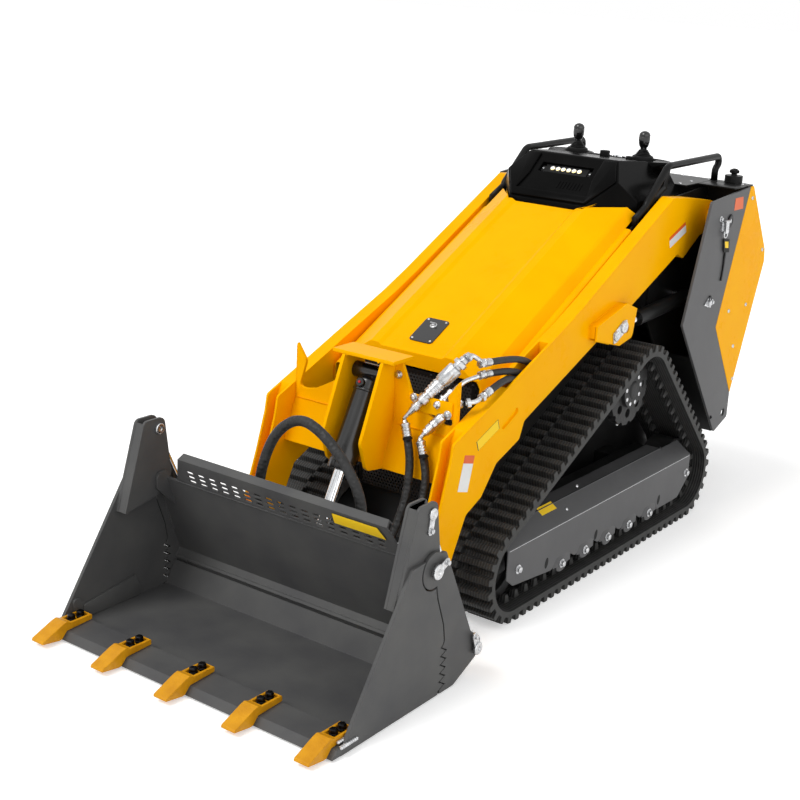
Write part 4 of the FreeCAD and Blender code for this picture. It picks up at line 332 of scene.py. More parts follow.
def dress(node, material, edge):
    """A CAD node in its finish, its edges broken as a press brake or grinder leaves them."""
    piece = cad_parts[node]
    for slot in piece.material_slots:
        slot.material = material
    for name in ("custom_normal", "sharp_face", "sharp_edge"):
        if name in piece.data.attributes:
            piece.data.attributes.remove(piece.data.attributes[name])
    piece.data.shade_smooth()
    weld = piece.modifiers.new("joined_faces", "WELD")
    weld.merge_threshold = 0.00002
    flat = piece.modifiers.new("flat_faces", "DECIMATE")
    flat.decimate_type = "DISSOLVE"
    flat.angle_limit = math.radians(FLAT_ANGLE)
    if edge > 0:
        bevel = piece.modifiers.new("broken_edges", "BEVEL")
        bevel.width = edge / 1000
        bevel.segments = 2
        bevel.limit_method = "ANGLE"
        bevel.angle_limit = math.radians(SHARP_ANGLE)
        bevel.use_clamp_overlap = False
    weighted = piece.modifiers.new("even_shading", "WEIGHTED_NORMAL")
    weighted.keep_sharp = True


for material, edge, nodes in NODE_FINISH:
    for node in nodes:
        dress(node, material, edge)


# ---------------------------------------------------------------- hoses
def route(*points):
    """A hose's route in metres."""
    return [place(*p) for p in points]


def baked(source):
    """The mesh that an object's curve or modifiers give."""
    bpy.context.view_layer.update()
    return bpy.data.meshes.new_from_object(source.evaluated_get(bpy.context.evaluated_depsgraph_get()))


def swept(curve, diameter=0.0, sides=0):
    """The mesh of a curve: its bare line, or a capped tube round it."""
    thicken(curve, diameter, sides)
    source = stand("swept_line", curve)
    mesh = baked(source)
    bpy.data.objects.remove(source)
    return mesh


def thicken(curve, diameter, sides):
    """A curve's thickness, in millimetres."""
    curve.bevel_depth = diameter / 2000
    curve.bevel_resolution = sides
    curve.use_fill_caps = diameter > 0


def smooth_curve(name, points):
    """The smooth curve through a hose's route."""
    curve = bpy.data.curves.new(name, "CURVE")
    curve.dimensions = "3D"
    curve.resolution_u = 12
    spline = curve.splines.new("NURBS")
    spline.points.add(len(points) - 1)
    for knot, point in zip(spline.points, points):
        knot.co = point.to_4d()
    spline.order_u = 3
    spline.use_endpoint_u = True
    return curve


def bare_line(curve):
    """The points of a curve's own line, and its length."""
    mesh = swept(curve)
    line = [vert.co.copy() for vert in mesh.vertices]
    bpy.data.meshes.remove(mesh)
    return line, sum((b - a).length for a, b in zip(line, line[1:]))


def free_hose(name, points, diameter, material, body):
    """A round hose that rides on one body."""
    curve = smooth_curve(name, points)
    _, length = bare_line(curve)
    thicken(curve, diameter, HOSE_SIDES)
    curve.materials.append(material)
    hose = stand(name, curve)
    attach(hose, body)
    return hose


def tube_hose(name, points, diameter, material):
    """A mesh hose along a route between the boom and the bucket."""
    curve = smooth_curve(name, points)
    line, length = bare_line(curve)
    mesh = swept(curve, diameter, HOSE_SIDES)
    mesh.materials.clear()
    mesh.materials.append(material)
    mesh.shade_smooth()
    hose = stand(name, mesh)
    return hose, length, line


BOOM_ROUTES = {
    "boom_hose_high": route(
        (317, -699, 845), (332, -600, 842), (343, -500, 822), (343, -440, 780), (343, -440, 715.3),
    ),
    "boom_hose_middle": route(
        (320, -699, 809), (334, -620, 808), (343, -540, 790), (343, -487, 760), (343, -487, 715.3),
    ),
    "boom_hose_low": route(
        (352, -740, 762), (357, -680, 784), (350, -610, 785), (343, -535, 760), (343, -535, 715.3),
    ),
}
high, *_ = [free_hose(name, way, BOOM_HOSE, HOSE, "boom") for name, way in BOOM_ROUTES.items()]
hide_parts("boom_hoses")

loop = free_hose("loop_hose_sleeved", route(
    (-138, -1184.8, 320.3), (-138, -1224.8, 418), (-122, -1215, 550), (-80, -1206, 652), (5, -1203, 712),
    (96, -1203, 682), (186, -1205, 608), (252, -1210, 520), (266, -1224.8, 418), (266, -1184.8, 320.3),
), LOOP_HOSE, SLEEVE, "bucket")
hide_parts("loop_hose")

NEAR_ROUTE = route(
    (160, -884, 650), (180, -893, 603), (204, -909, 538), (222, -948, 440),
    (221, -1010, 335), (215, -1059.6, 262), (215, -1059.6, 205.3),
)
FAR_ROUTE = route(
    (224, -888, 608), (244, -896, 566), (270, -914, 505), (278, -948, 425),
    (274, -1010, 330), (265, -1059.6, 262), (265, -1059.6, 205.3),
)
for name, points in (("bucket_hose_near", NEAR_ROUTE), ("bucket_hose_far", FAR_ROUTE)):
    hose, length, line = tube_hose(name, points, BUCKET_HOSE, SLEEVE)
    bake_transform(hose)
    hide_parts("bucket_hoses")


# ---------------------------------------------------------------- modelling helpers
LEFT = Vector((1.0, 0.0, 0.0))
FORWARD = Vector((0.0, -1.0, 0.0))
ABOVE = Vector((0.0, 0.0, 1.0))


def facing(point, normal):
    """The matrix that stands a form on a point with its Z along a normal."""
    return Matrix.Translation(point) @ normal.normalized().to_track_quat("Z", "Y").to_matrix().to_4x4()


def only_verts(made):
    """The vertices among what an operator made."""
    return [item for item in made["geom"] if isinstance(item, bmesh.types.BMVert)]


def drum(bm, sides, foot, top, height, point, normal):
    """A prism or a cone frustum, in millimetres, standing on a point."""
    middle = point + normal.normalized() * (height / 2000)
    bmesh.ops.create_cone(
        bm, cap_ends=True, segments=sides, radius1=foot / 1000, radius2=top / 1000,
        depth=height / 1000, matrix=facing(middle, normal),
    )


def lathe(bm, profile, point, normal, steps=32):
    """A turned form: (height, radius) pairs in millimetres, spun about a normal through a point.

    It closes onto the axis at both ends, unless it is a ring that ends where it starts.
    """
    if profile[0] != profile[-1]:
        profile = [(profile[0][0], 0), *profile]
        if profile[-1][1] > 0:
            profile.append((profile[-1][0], 0))
    spot = facing(point, normal)
    verts = [bm.verts.new(spot @ Vector((radius / 1000, 0.0, height / 1000))) for height, radius in profile]
    edges = [bm.edges.new(pair) for pair in zip(verts, verts[1:])]
    bmesh.ops.spin(
        bm, geom=verts + edges, cent=point, axis=normal.normalized(),
        angle=2 * math.pi, steps=steps, use_merge=True,
    )


def slab(bm, corners, depth):
    """A plate: a flat outline of points pushed out by a vector."""
    face = bm.faces.new([bm.verts.new(corner) for corner in corners])
    pushed = bmesh.ops.extrude_face_region(bm, geom=[face], use_keep_orig=True)
    bmesh.ops.translate(bm, verts=only_verts(pushed), vec=depth)


def plate(bm, x, outline, thickness):
    """A plate that stands on the plane of an X, its outline as (Y, Z) corners."""
    slab(bm, [place(x, y, z) for y, z in outline], LEFT * thickness / 1000)


def brick(bm, size, point, turn=None):
    """A block of a size in millimetres, centred on a point."""
    spot = Matrix.Translation(point) @ (turn or Matrix.Identity(4))
    bmesh.ops.create_cube(bm, size=1.0, matrix=spot @ Matrix.Diagonal(Vector(size) / 1000).to_4x4())


def hex_bolt(bm, point, normal, across, washer=1.7):
    """A hexagon head with chamfered corners on a flat washer."""
    out = normal.normalized()
    radius = across / math.sqrt(3)
    drum(bm, 24, across * washer / 2, across * washer / 2 - 0.6, across * 0.13, point, out)
    drum(bm, 6, radius, radius, across * 0.42, point + out * across * 0.00012, out)
    drum(bm, 6, radius, radius * 0.84, across * 0.1, point + out * across * 0.00053, out)


def button_bolt(bm, point, normal, radius):
    """A low domed screw head with a socket."""
    shares = ((0, 1), (0.3, 0.92), (0.55, 0.6), (0.62, 0.42), (0.35, 0.38))
    lathe(bm, [(radius * height, radius * width) for height, width in shares], point, normal, 16)


def weld(bm, first, last, width):
    """The overlapping ripples of a weld run between two places."""
    start, end = place(*first), place(*last)
    run = end - start
    ripples = max(2, round(run.length * 1000 / (width * 0.6)))
    for i in range(ripples + 1):
        spot = facing(start.lerp(end, i / ripples), run)
        size = Matrix.Diagonal((width / 2000, width / 2000, width / 2400, 1.0))
        bmesh.ops.create_icosphere(bm, subdivisions=1, radius=1.0, matrix=spot @ size)


def pipe(bm, points, diameter):
    """A bent steel tube along a smooth line through points."""
    mesh = swept(smooth_curve("bent_tube", points), diameter, PIPE_SIDES)
    bm.from_mesh(mesh)
    bpy.data.meshes.remove(mesh)


def both_sides(bm):
    """The same forms on the machine's other side."""
    geometry = bm.verts[:] + bm.edges[:] + bm.faces[:]
    copied = bmesh.ops.duplicate(bm, geom=geometry)
    faces = [item for item in copied["geom"] if isinstance(item, bmesh.types.BMFace)]
    bmesh.ops.scale(bm, verts=only_verts(copied), vec=(-1.0, 1.0, 1.0))
    bmesh.ops.reverse_faces(bm, faces=faces)


def finish(name, bm, material, edge=0.0, segments=2, body="chassis"):
    """The finished piece: merged, turned outwards, its sharp edges broken, riding on its body."""
    bmesh.ops.remove_doubles(bm, verts=bm.verts, dist=0.000002)
    bmesh.ops.recalc_face_normals(bm, faces=bm.faces)
    if edge > 0:
        limit = math.radians(SHARP_ANGLE)
        sharp = [e for e in bm.edges if e.is_manifold and e.calc_face_angle(0.0) > limit]
        bmesh.ops.bevel(
            bm, geom=sharp, offset=edge / 1000, offset_type="OFFSET", affect="EDGES",
            segments=segments, profile=0.5, material=-1, clamp_overlap=True,
        )
    mesh = bpy.data.meshes.new(name)
    bm.to_mesh(mesh)
    bm.free()
    mesh.shade_smooth()
    mesh.set_sharp_from_angle(angle=math.radians(SHARP_ANGLE))
    mesh.materials.append(material)
    piece = stand(name, mesh)
    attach(piece, body)
    return piece


# ---------------------------------------------------------------- hydraulic couplers
def ferrule(bm, start, back, size, reach):
    """A crimped ferrule over a hose's end, with its collar and neck behind it."""
    r = size / 2
    profile = [(-reach, r + 0.6), (1 - reach, r + 1.6)]
    for groove in range(3):
        at = -reach + (groove + 1) * reach / 4
        profile += [(at - 1.2, r + 1.6), (at - 0.6, r + 0.8), (at + 0.6, r + 0.8), (at + 1.2, r + 1.6)]
    profile += [(-2, r + 1.6), (0, r + 2.6), (5, r + 2.6), (6, r - 1), (9, r - 3), (14, r - 4.5)]
    lathe(bm, profile, start, back, 32)


def hex_nut(bm, point, normal, across, height):
    """A hexagon nut with turned ends."""
    radius = across / math.sqrt(3)
    drum(bm, 6, radius, radius, height, point, normal)
    drum(bm, 24, across * 0.42, across * 0.49, 1.2, point - normal.normalized() * 0.0012, normal)
    drum(bm, 24, across * 0.49, across * 0.42, 1.2, point + normal.normalized() * (height / 1000), normal)


def make_couplers():
    """Quick couplers, elbows, nuts and crimped ferrules of the bucket's hydraulics."""
    bm = bmesh.new()
    upper, lower = place(288, -768, 865), place(163, -880, 684)
    down = (lower - upper).normalized()
    lathe(bm, [
        (0, 11), (12, 11), (14, 17), (30, 17), (32, 15), (38, 15), (40, 21), (44, 24.5), (97, 24.5),
        (99, 23), (103, 23), (105, 20.5), (112, 20.5), (113, 22.5), (118, 22.5), (119, 20), (123, 20),
        (124, 22), (129, 22), (130, 19.5), (134, 19.5), (135, 21.5), (141, 21.5), (142, 19), (147, 19),
        (148, 20), (156, 20), (158, 15), (164, 15), (166, 16.5), (190, 16.5), (192, 12.5), (206, 12.5),
        (208, 13.5), (222, 12), (236, 9), (246, 7),
    ], upper, down, 48)
    for along, across, height in ((2, 27, 10), (16, 40, 13), (168, 36, 19), (206, 28, 13)):
        hex_nut(bm, upper + down * along / 1000, down, across, height)
    small_top, small_foot = place(280, -815, 716), place(224, -880, 632)
    run = (small_foot - small_top).normalized()
    lathe(bm, [
        (0, 11), (8, 11), (9, 15), (32, 15), (33, 13.5), (36, 13.5), (37, 16), (42, 17.5), (62, 17.5),
        (63, 16), (67, 16), (68, 17.5), (78, 17.5), (80, 13), (92, 13), (94, 13.5), (104, 12), (116, 8),
        (121, 7),
    ], small_top, run, 40)
    for along, across, height in ((8, 32, 14), (82, 28, 16), (102, 24, 8)):
        hex_nut(bm, small_top + run * along / 1000, run, across, height)
    stub_top, stub_foot = place(264, -816, 753), place(240, -847, 718)
    run = (stub_foot - stub_top).normalized()
    lathe(bm, [
        (-8, 12), (12, 12), (14, 17), (20, 17), (22, 11), (36, 11), (38, 13), (46, 13), (48, 11),
        (54, 9), (54, 6), (48, 5),
    ], stub_top, run, 32)
    elbows = (
        (upper, place(290, -742, 872)), (stub_top, place(286, -760, 792)),
        (place(322, -806, 738), place(344, -782, 744)),
    )
    for (start, onward, *_), (coupler, corner) in zip(BOOM_ROUTES.values(), elbows):
        back = (start - onward).normalized()
        ferrule(bm, start, back, BOOM_HOSE, 22)
        hex_nut(bm, start + back * 0.016, back, 25, 11)
        pipe(bm, [coupler, coupler.lerp(corner, 0.6), corner, corner.lerp(start, 0.4), start + back * 0.012], 15)
        run = (corner - coupler).normalized()
        hex_nut(bm, coupler + run * 0.004, run, 27, 12)
    for points, joint in ((NEAR_ROUTE, lower), (FAR_ROUTE, small_foot)):
        back = (points[0] - points[1]).normalized()
        ferrule(bm, points[0], back, BUCKET_HOSE, 36)
        reach = (points[0] - joint).length
        pipe(bm, [joint - down * 0.01, joint + down * (reach * 0.4), points[0] + back * (reach * 0.6), points[0]], 13)
    bridge = place(306, -826, 736)
    pipe(bm, [small_top, small_top.lerp(bridge, 0.5), bridge], 16)
    hex_nut(bm, bridge, Vector((0.0, 1.0, 0.0)), 30, 10)
    couplers = finish("quick_couplers", bm, ZINC, 0.5, 1, body="boom")
    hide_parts("aux_couplers")

    strap = bmesh.new()
    face = WING_Y - 0.3
    outline = [(140, 690), (300, 690), (300, 742), (140, 742)]
    slab(strap, [place(x, face, z) for x, z in outline], Vector((0, -0.006, 0)))
    finish("coupler_strap", strap, YELLOW, 1.5, body="boom")

    bolts = bmesh.new()
    for x, z in ((158, 730), (286, 702)):
        hex_bolt(bolts, place(x, face - 6, z), FORWARD, 17)
    hex_bolt(bolts, place(92, WING_Y - 0.2, 788), FORWARD, 17)
    finish("coupler_bolts", bolts, ZINC, 0.4, 1, body="boom")

    clips = bmesh.new()
    for points in (NEAR_ROUTE, FAR_ROUTE):
        run = (points[1] - points[0]).normalized()
        spot = points[0] + run * 0.038
        lathe(clips, [(0, 15.4), (7, 15.4)], spot, run, 28)
        brick(clips, (9, 10, 8), spot + run * 0.0035 + Vector((0.012, -0.013, 0.0)))
    finish("hose_clips", clips, NYLON, 0.6, 1, body="boom")


make_couplers()


# ---------------------------------------------------------------- front grille
GRILLE_Y = -641.5


def make_grille():
    """Sheet with staggered holes 8 mm wide, 12.6 mm apart, inside a plain rim."""
    bm = bmesh.new()
    pitch, hole = 12.6, 8.0
    rise = pitch * math.sqrt(3) / 2
    outer = pitch / math.sqrt(3) / 1000
    centre = place(0, GRILLE_Y, 310)
    cell = bmesh.ops.create_circle(bm, segments=6, radius=outer, matrix=facing(centre, FORWARD))["verts"]
    for vert in cell:
        arm = vert.co - centre
        vert.co = centre + Vector((arm.x, 0.0, arm.z))
    ring = list({edge for vert in cell for edge in vert.link_edges})
    for vert in only_verts(bmesh.ops.extrude_edge_only(bm, edges=ring)):
        vert.co = centre + (vert.co - centre) * (hole / 2000 / outer)
    seed = bm.verts[:] + bm.edges[:] + bm.faces[:]
    for row in range(41):
        for column in range(-20, 21):
            across = column * pitch + (pitch / 2 if row % 2 else 0.0)
            if row == 0 and column == 0:
                continue
            height = 310 + row * rise
            half = 186 if height < 440 else 186 + min(60, height - 440)
            if abs(across) > half or height > 744:
                continue
            verts = only_verts(bmesh.ops.duplicate(bm, geom=seed))
            bmesh.ops.translate(bm, verts=verts, vec=Vector((across, 0.0, row * rise)) / 1000)
    bmesh.ops.remove_doubles(bm, verts=bm.verts, dist=0.00002)
    bmesh.ops.solidify(bm, geom=bm.faces[:], thickness=0.0015)
    sheet = finish("perforated_grille", bm, SHEET_BLACK)
    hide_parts("front_grille")

    rim = bmesh.new()
    outer = [(190, 303), (190, 430), (250, 490), (250, 752)]
    inner = [(177, 303), (177, 435), (237, 495), (237, 739)]
    arch = outer + [(-x, z) for x, z in outer[::-1]] + [(-x, z) for x, z in inner] + inner[::-1]
    slab(rim, [place(x, -641, z) for x, z in arch], FORWARD * 0.003)
    slab(rim, [place(x, -641, z) for x, z in ((-177, 303), (177, 303), (177, 315), (-177, 315))], FORWARD * 0.003)
    finish("grille_rim", rim, BLACK, 0.4, 1)

    screws = bmesh.new()
    for x, z in ((180, 318), (183, 424), (241, 500), (241, 620), (241, 742), (80, 742)):
        button_bolt(screws, place(x, -643, z), FORWARD, 6)
    both_sides(screws)
    finish("grille_screws", screws, BLACK_BOLT)


make_grille()


# ---------------------------------------------------------------- tracks
IDLER_Z = 170.0
IDLERS_Y = (-640.0, 620.0)
SPROCKET_Y, SPROCKET_Z = 190.0, 590.0
BELT_INSIDE = ((IDLERS_Y[0], IDLER_Z, 128.3), (IDLERS_Y[1], IDLER_Z, 128.3), (SPROCKET_Y, SPROCKET_Z, 133.3))


def belt_stations(pitch):
    """(Y, Z, inward direction) every pitch along the belt's inner face."""
    stations = []
    for i, (ya, za, ra) in enumerate(BELT_INSIDE):
        yb, zb, rb = BELT_INSIDE[(i + 1) % 3]
        yc, zc, rc = BELT_INSIDE[(i + 2) % 3]
        length = math.hypot(yb - ya, zb - za)
        along = math.atan2(zb - za, yb - ya)
        lean = along - math.pi / 2 - math.asin((rb - ra) / length)
        out = Vector((0.0, math.cos(lean), math.sin(lean)))
        start = Vector((0.0, ya, za)) + out * ra
        end = Vector((0.0, yb, zb)) + out * rb
        count = int((end - start).length / pitch)
        for k in range(count + 1):
            stations.append((start.lerp(end, (k + 0.5) / (count + 1)), out))
        onward = math.atan2(zc - zb, yc - yb)
        reach = math.hypot(yc - yb, zc - zb)
        lean_next = onward - math.pi / 2 - math.asin((rc - rb) / reach)
        sweep = (lean_next - lean) % (2 * math.pi)
        count = int(sweep * rb / pitch)
        for k in range(count):
            angle = lean + sweep * (k + 1) / (count + 1)
            out = Vector((0.0, math.cos(angle), math.sin(angle)))
            stations.append((Vector((0.0, yb, zb)) + out * rb, out))
    return stations


def make_drive_lugs():
    """The two rows of guide blocks moulded inside each belt, either side of the wheels."""
    bm = bmesh.new()
    for point, out in belt_stations(62):
        for x in (265, 395):
            foot = place(x, point.y, point.z) + out * 0.002
            turn = Matrix.Translation(foot) @ (-out).to_track_quat("Z", "X").to_matrix().to_4x4()
            size = Matrix.Diagonal((0.019, 0.019, 1.0, 1.0))
            bmesh.ops.create_cone(
                bm, cap_ends=True, segments=4, radius1=1.0, radius2=0.62, depth=0.028,
                matrix=turn @ size @ Matrix.Translation((0, 0, 0.014)) @ Matrix.Rotation(math.pi / 4, 4, "Z"),
            )
    both_sides(bm)
    finish("track_guide_blocks", bm, RUBBER, 1.6, 2)


make_drive_lugs()


COVER_TABS_Y = (-339, -179, -19, 141, 301)
COVER_LID = Vector((43.3, 0.0, 58.0))


def make_cover_fittings():
    """Round-footed bolt tabs, bolts, lid screws, a painted highlight along each fold and painted shade in the oval
    peep holes of the track covers.
    """
    tabs = bmesh.new()
    for y in COVER_TABS_Y:
        foot = [(y + 34 * math.cos(k * math.pi / 10), 99 - 22 * math.sin(k * math.pi / 10)) for k in range(11)]
        before = [(y - 58, 152), (y - 58, 102), (y - 42, 100)]
        after = [(y + 42, 100), (y + 58, 102), (y + 58, 152)]
        plate(tabs, COVER_X - 5.5, before + foot[::-1] + after, 5)
    both_sides(tabs)
    finish("cover_tabs", tabs, GREY, 1.6)
    # A thin bright steel strip along each cover's fold: a painted highlight on the crease.
    fold = bmesh.new()
    pipe(fold, [place(446.7, y, 253.2) for y in (-686, -250, 180, 608)], 3.0)
    both_sides(fold)
    finish("cover_fold_painted_highlight", fold, WELD_AND_HIGHLIGHT_STEEL)
    bm = bmesh.new()
    for y, z in ((-626, 176), *((y, 106) for y in COVER_TABS_Y), (593, 188)):
        hex_bolt(bm, place(COVER_X, y, z), LEFT, 19)
    for x, y, z in ((373, -142, 309), (418, -284, 276)):
        button_bolt(bm, place(x, y, z), COVER_LID, 7)
    both_sides(bm)
    finish("cover_bolts", bm, ZINC, 0.4, 1)

    # Flat black ovals laid on the covers' faces: painted shade for the inside of the peep holes.
    holes = bmesh.new()
    for y, z in ((-444, 139), (-110, 140), (373, 137)):
        spot = Matrix.Translation(place(COVER_X + 0.2, y, z)) @ Matrix.Rotation(math.radians(-12), 4, "X")
        oval = Matrix.Diagonal((1, 0.011, 0.019, 1)) @ Matrix.Rotation(math.pi / 2, 4, "Y")
        bmesh.ops.create_circle(holes, cap_ends=True, segments=24, radius=1.0, matrix=spot @ oval)
    both_sides(holes)
    finish("cover_peep_hole_painted_shade", holes, NYLON)


make_cover_fittings()


def make_wheel_fittings():
    """Bolt rings of the drive motors and the frame's bolts behind the sprockets."""
    bm = bmesh.new()
    x = 382
    ring = 52.0
    for k in range(9):
        angle = 2 * math.pi * (k + 0.3) / 9
        spot = place(x, SPROCKET_Y + ring * math.cos(angle), SPROCKET_Z + ring * math.sin(angle))
        hex_bolt(bm, spot, LEFT, 15, 1.4)
    for y, z in ((36, 433), (267, 431), (-176, 417)):
        hex_bolt(bm, place(300, y, z), LEFT, 16)
    both_sides(bm)
    finish("sprocket_bolts", bm, ZINC, 0.3, 1)
    hub = bmesh.new()
    lathe(hub, [(0, 36), (14, 34), (20, 28), (22, 18)], place(375, SPROCKET_Y, SPROCKET_Z), LEFT, 36)
    for y in IDLERS_Y:
        lathe(hub, [(0, 40), (8, 38), (22, 26), (26, 12)], place(357, y, IDLER_Z), LEFT, 32)
    both_sides(hub)
    finish("wheel_hubs", hub, CASTING, 1.0)


make_wheel_fittings()


# ---------------------------------------------------------------- bucket
def make_tooth_bolts():
    """Two hexagon bolts with lock washers in each tooth's channel."""
    bm = bmesh.new()
    for i in range(-2, 3):
        for y in (-1632, -1596):
            lathe(bm, [(0, 13.5), (6, 13.5), (7, 12.5)], place(i * TOOTH_PITCH, y, 42), ABOVE, 24)
            hex_bolt(bm, place(i * TOOTH_PITCH, y, 49), ABOVE, 22, 1.2)
    finish("tooth_bolts", bm, BLACK_BOLT, 0.6, 2, body="bucket_jaw")


make_tooth_bolts()


def make_bucket_pins():
    """Pin heads with their flag keepers on both ends of the bucket."""
    bm = bmesh.new()
    lathe(bm, [(0, 22), (2, 23), (9, 23), (11, 21), (11, 9), (8, 7)], place(560, -1265, 408), LEFT, 40)
    lathe(bm, [(0, 19), (2, 20), (9, 20), (11, 18), (11, 7), (8, 5)], place(560, -1028, 89), LEFT, 36)
    for pivot, tip in (((-1265, 408), (-1224, 424)), ((-1028, 89), (-1046, 132))):
        flag(bm, pivot, tip, 562)
    both_sides(bm)
    finish("bucket_pins", bm, ZINC, 0.6, 2, body="bucket")

    eyes = bmesh.new()
    for x, bore, out in ((542.5, 7, LEFT), (498.5, 6, -LEFT)):
        profile = [(0, 17), (1.5, 18), (6, 18), (8, 16), (8, bore), (6, 5)]
        lathe(eyes, profile, place(x, -1278, 576), out, 32)
    flag(eyes, (-1278, 576), (-1286, 530), 543)
    both_sides(eyes)
    finish("lever_pins", eyes, ZINC, 0.6, 2, body="bucket_jaw")


def flag(bm, pivot, tip, x):
    """A keeper plate from a pin's head to its bolt, on the plane of an X."""
    a = place(x, pivot[0], pivot[1])
    b = place(x, tip[0], tip[1])
    run = (b - a).normalized()
    side = run.cross(LEFT) * 0.013
    corners = [a + side, a - side, b - side * 0.85 + run * 0.006, b - side * 0.4 + run * 0.013]
    corners += [b + side * 0.4 + run * 0.013, b + side * 0.85 + run * 0.006]
    slab(bm, corners, LEFT * 0.005)
    hex_bolt(bm, b + LEFT * 0.005, LEFT, 14, 1.4)


make_bucket_pins()


def make_tilt_tube():
    """The tilt cylinder: cross tube, weld collar, smooth tube, gland nut, port and its plug."""
    along = Vector((0.0, -0.4532, -0.8914))
    side = Vector((0.0, -0.8914, 0.4532))
    top = place(0, -846, 777)
    bm = bmesh.new()
    lathe(bm, [(-66, 15.5), (-66, 25), (-65, 26), (65, 26), (66, 25), (66, 15.5), (-66, 15.5)], top, LEFT, 64)
    lathe(bm, [
        (16, 28), (24, 38), (30, 42.5), (34, 43.5), (58, 43.5), (60, 45), (63, 45.5), (66, 45), (68, 42.5),
        (290, 42.5), (291, 44.5), (317, 44.5), (321, 42), (323, 30), (323, 20), (316, 20),
    ], top, along, 72)
    port = top + along * 0.046
    for spot in (port, top + along * 0.285 + LEFT * 0.002):
        lathe(bm, [(38, 14), (52, 14), (54, 12.5)], spot, side, 32)
    tube = finish("tilt_cylinder_tube", bm, TUBE_BLACK, 0.0, body="tilt_barrel")
    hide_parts("tilt_barrel")
    plug = bmesh.new()
    lathe(plug, [(54, 4.5), (57, 4.5), (58, 3.5)], port, side, 24)
    finish("tilt_port_plug", plug, BUTTON_RED, body="tilt_barrel")


make_tilt_tube()


def make_bucket_welds():
    """Weld runs of the clam: behind the blade, along the levers and at the front corners."""
    bm = bmesh.new()
    weld(bm, (0, -1574, 17), (541, -1574, 17), 7)
    weld(bm, (532, -1420, 332), (532, -1366, 490), 8)
    weld(bm, (536, -1350, 440), (536, -1290, 445), 8)
    both_sides(bm)
    finish("clam_welds", bm, BUCKET, body="bucket_jaw")
    corners = bmesh.new()
    weld(corners, (541, -1588, 40), (541, -1650, 40), 13)
    weld(corners, (556, -1656, 33), (556, -1592, 33), 13)
    weld(corners, (541, -1588, 38), (541, -1572, 60), 8)
    both_sides(corners)
    finish("corner_welds", corners, WELD_AND_HIGHLIGHT_STEEL, body="bucket_jaw")
    rear = bmesh.new()
    weld(rear, (541, -1168, 200), (541, -1240, 380), 7)
    weld(rear, (0, -1254, 410), (440, -1254, 410), 5)
    both_sides(rear)
    finish("board_welds", rear, BUCKET, body="bucket")


make_bucket_welds()


def make_bucket_plates():
    """Corner plates inside the clam and the sealing lip and strips at its split."""
    bm = bmesh.new()
    outline = [(-1560, 16), (-1330, 16), (-1318, 40), (-1345, 92), (-1560, 60)]
    plate(bm, 533, outline, 9.5)
    both_sides(bm)
    finish("clam_corner_plates", bm, BUCKET, 1.2, body="bucket_jaw")

    lip = bmesh.new()
    plate(lip, -543, ((-1150, 104), (-1144, 104), (-1135, 60), (-1141, 58)), 1086)
    finish("board_lip", lip, BUCKET, 0.8, 1, body="bucket")

    strips = bmesh.new()
    front = [(-1242.4, 316), (-1205.4, 226), (-1192.4, 164)]
    rear = [(-1238, 316), (-1201, 226), (-1188, 164)]
    for i in range(5):
        z = 152 - i * 27
        front += [(-1209.2, z), (-1182.2, z - 16.2)]
        rear += [(-1202, z), (-1175, z - 16.2)]
    front += [(-1209.2, 17), (-1209.2, 6)]
    rear += [(-1202, 17), (-1202, 6)]
    plate(strips, 547, front + rear[::-1], 4)
    both_sides(strips)
    finish("split_seals", strips, NYLON, body="bucket")


make_bucket_plates()


# ---------------------------------------------------------------- labels
def label(name, body, material, corners, out, lift=0.7):
    """A blank vinyl label on a flat face."""
    bm = bmesh.new()
    slab(bm, [place(*corner) for corner in corners], out.normalized() * lift / 1000)
    return finish(name, bm, material, 0.2, 1, body)


def shrunk(corners, by):
    """Corners drawn in towards their middle by a share."""
    middle = [sum(axis) / len(corners) for axis in zip(*corners)]
    return [tuple(m + (c - m) * (1 - by) for c, m in zip(corner, middle)) for corner in corners]


def split(corners, share):
    """The parts of a four-cornered label before and after a share of its length."""
    a, b, c, d = corners
    e = tuple(p + (q - p) * share for p, q in zip(a, d))
    f = tuple(p + (q - p) * share for p, q in zip(b, c))
    return [a, b, f, e], [e, f, c, d]


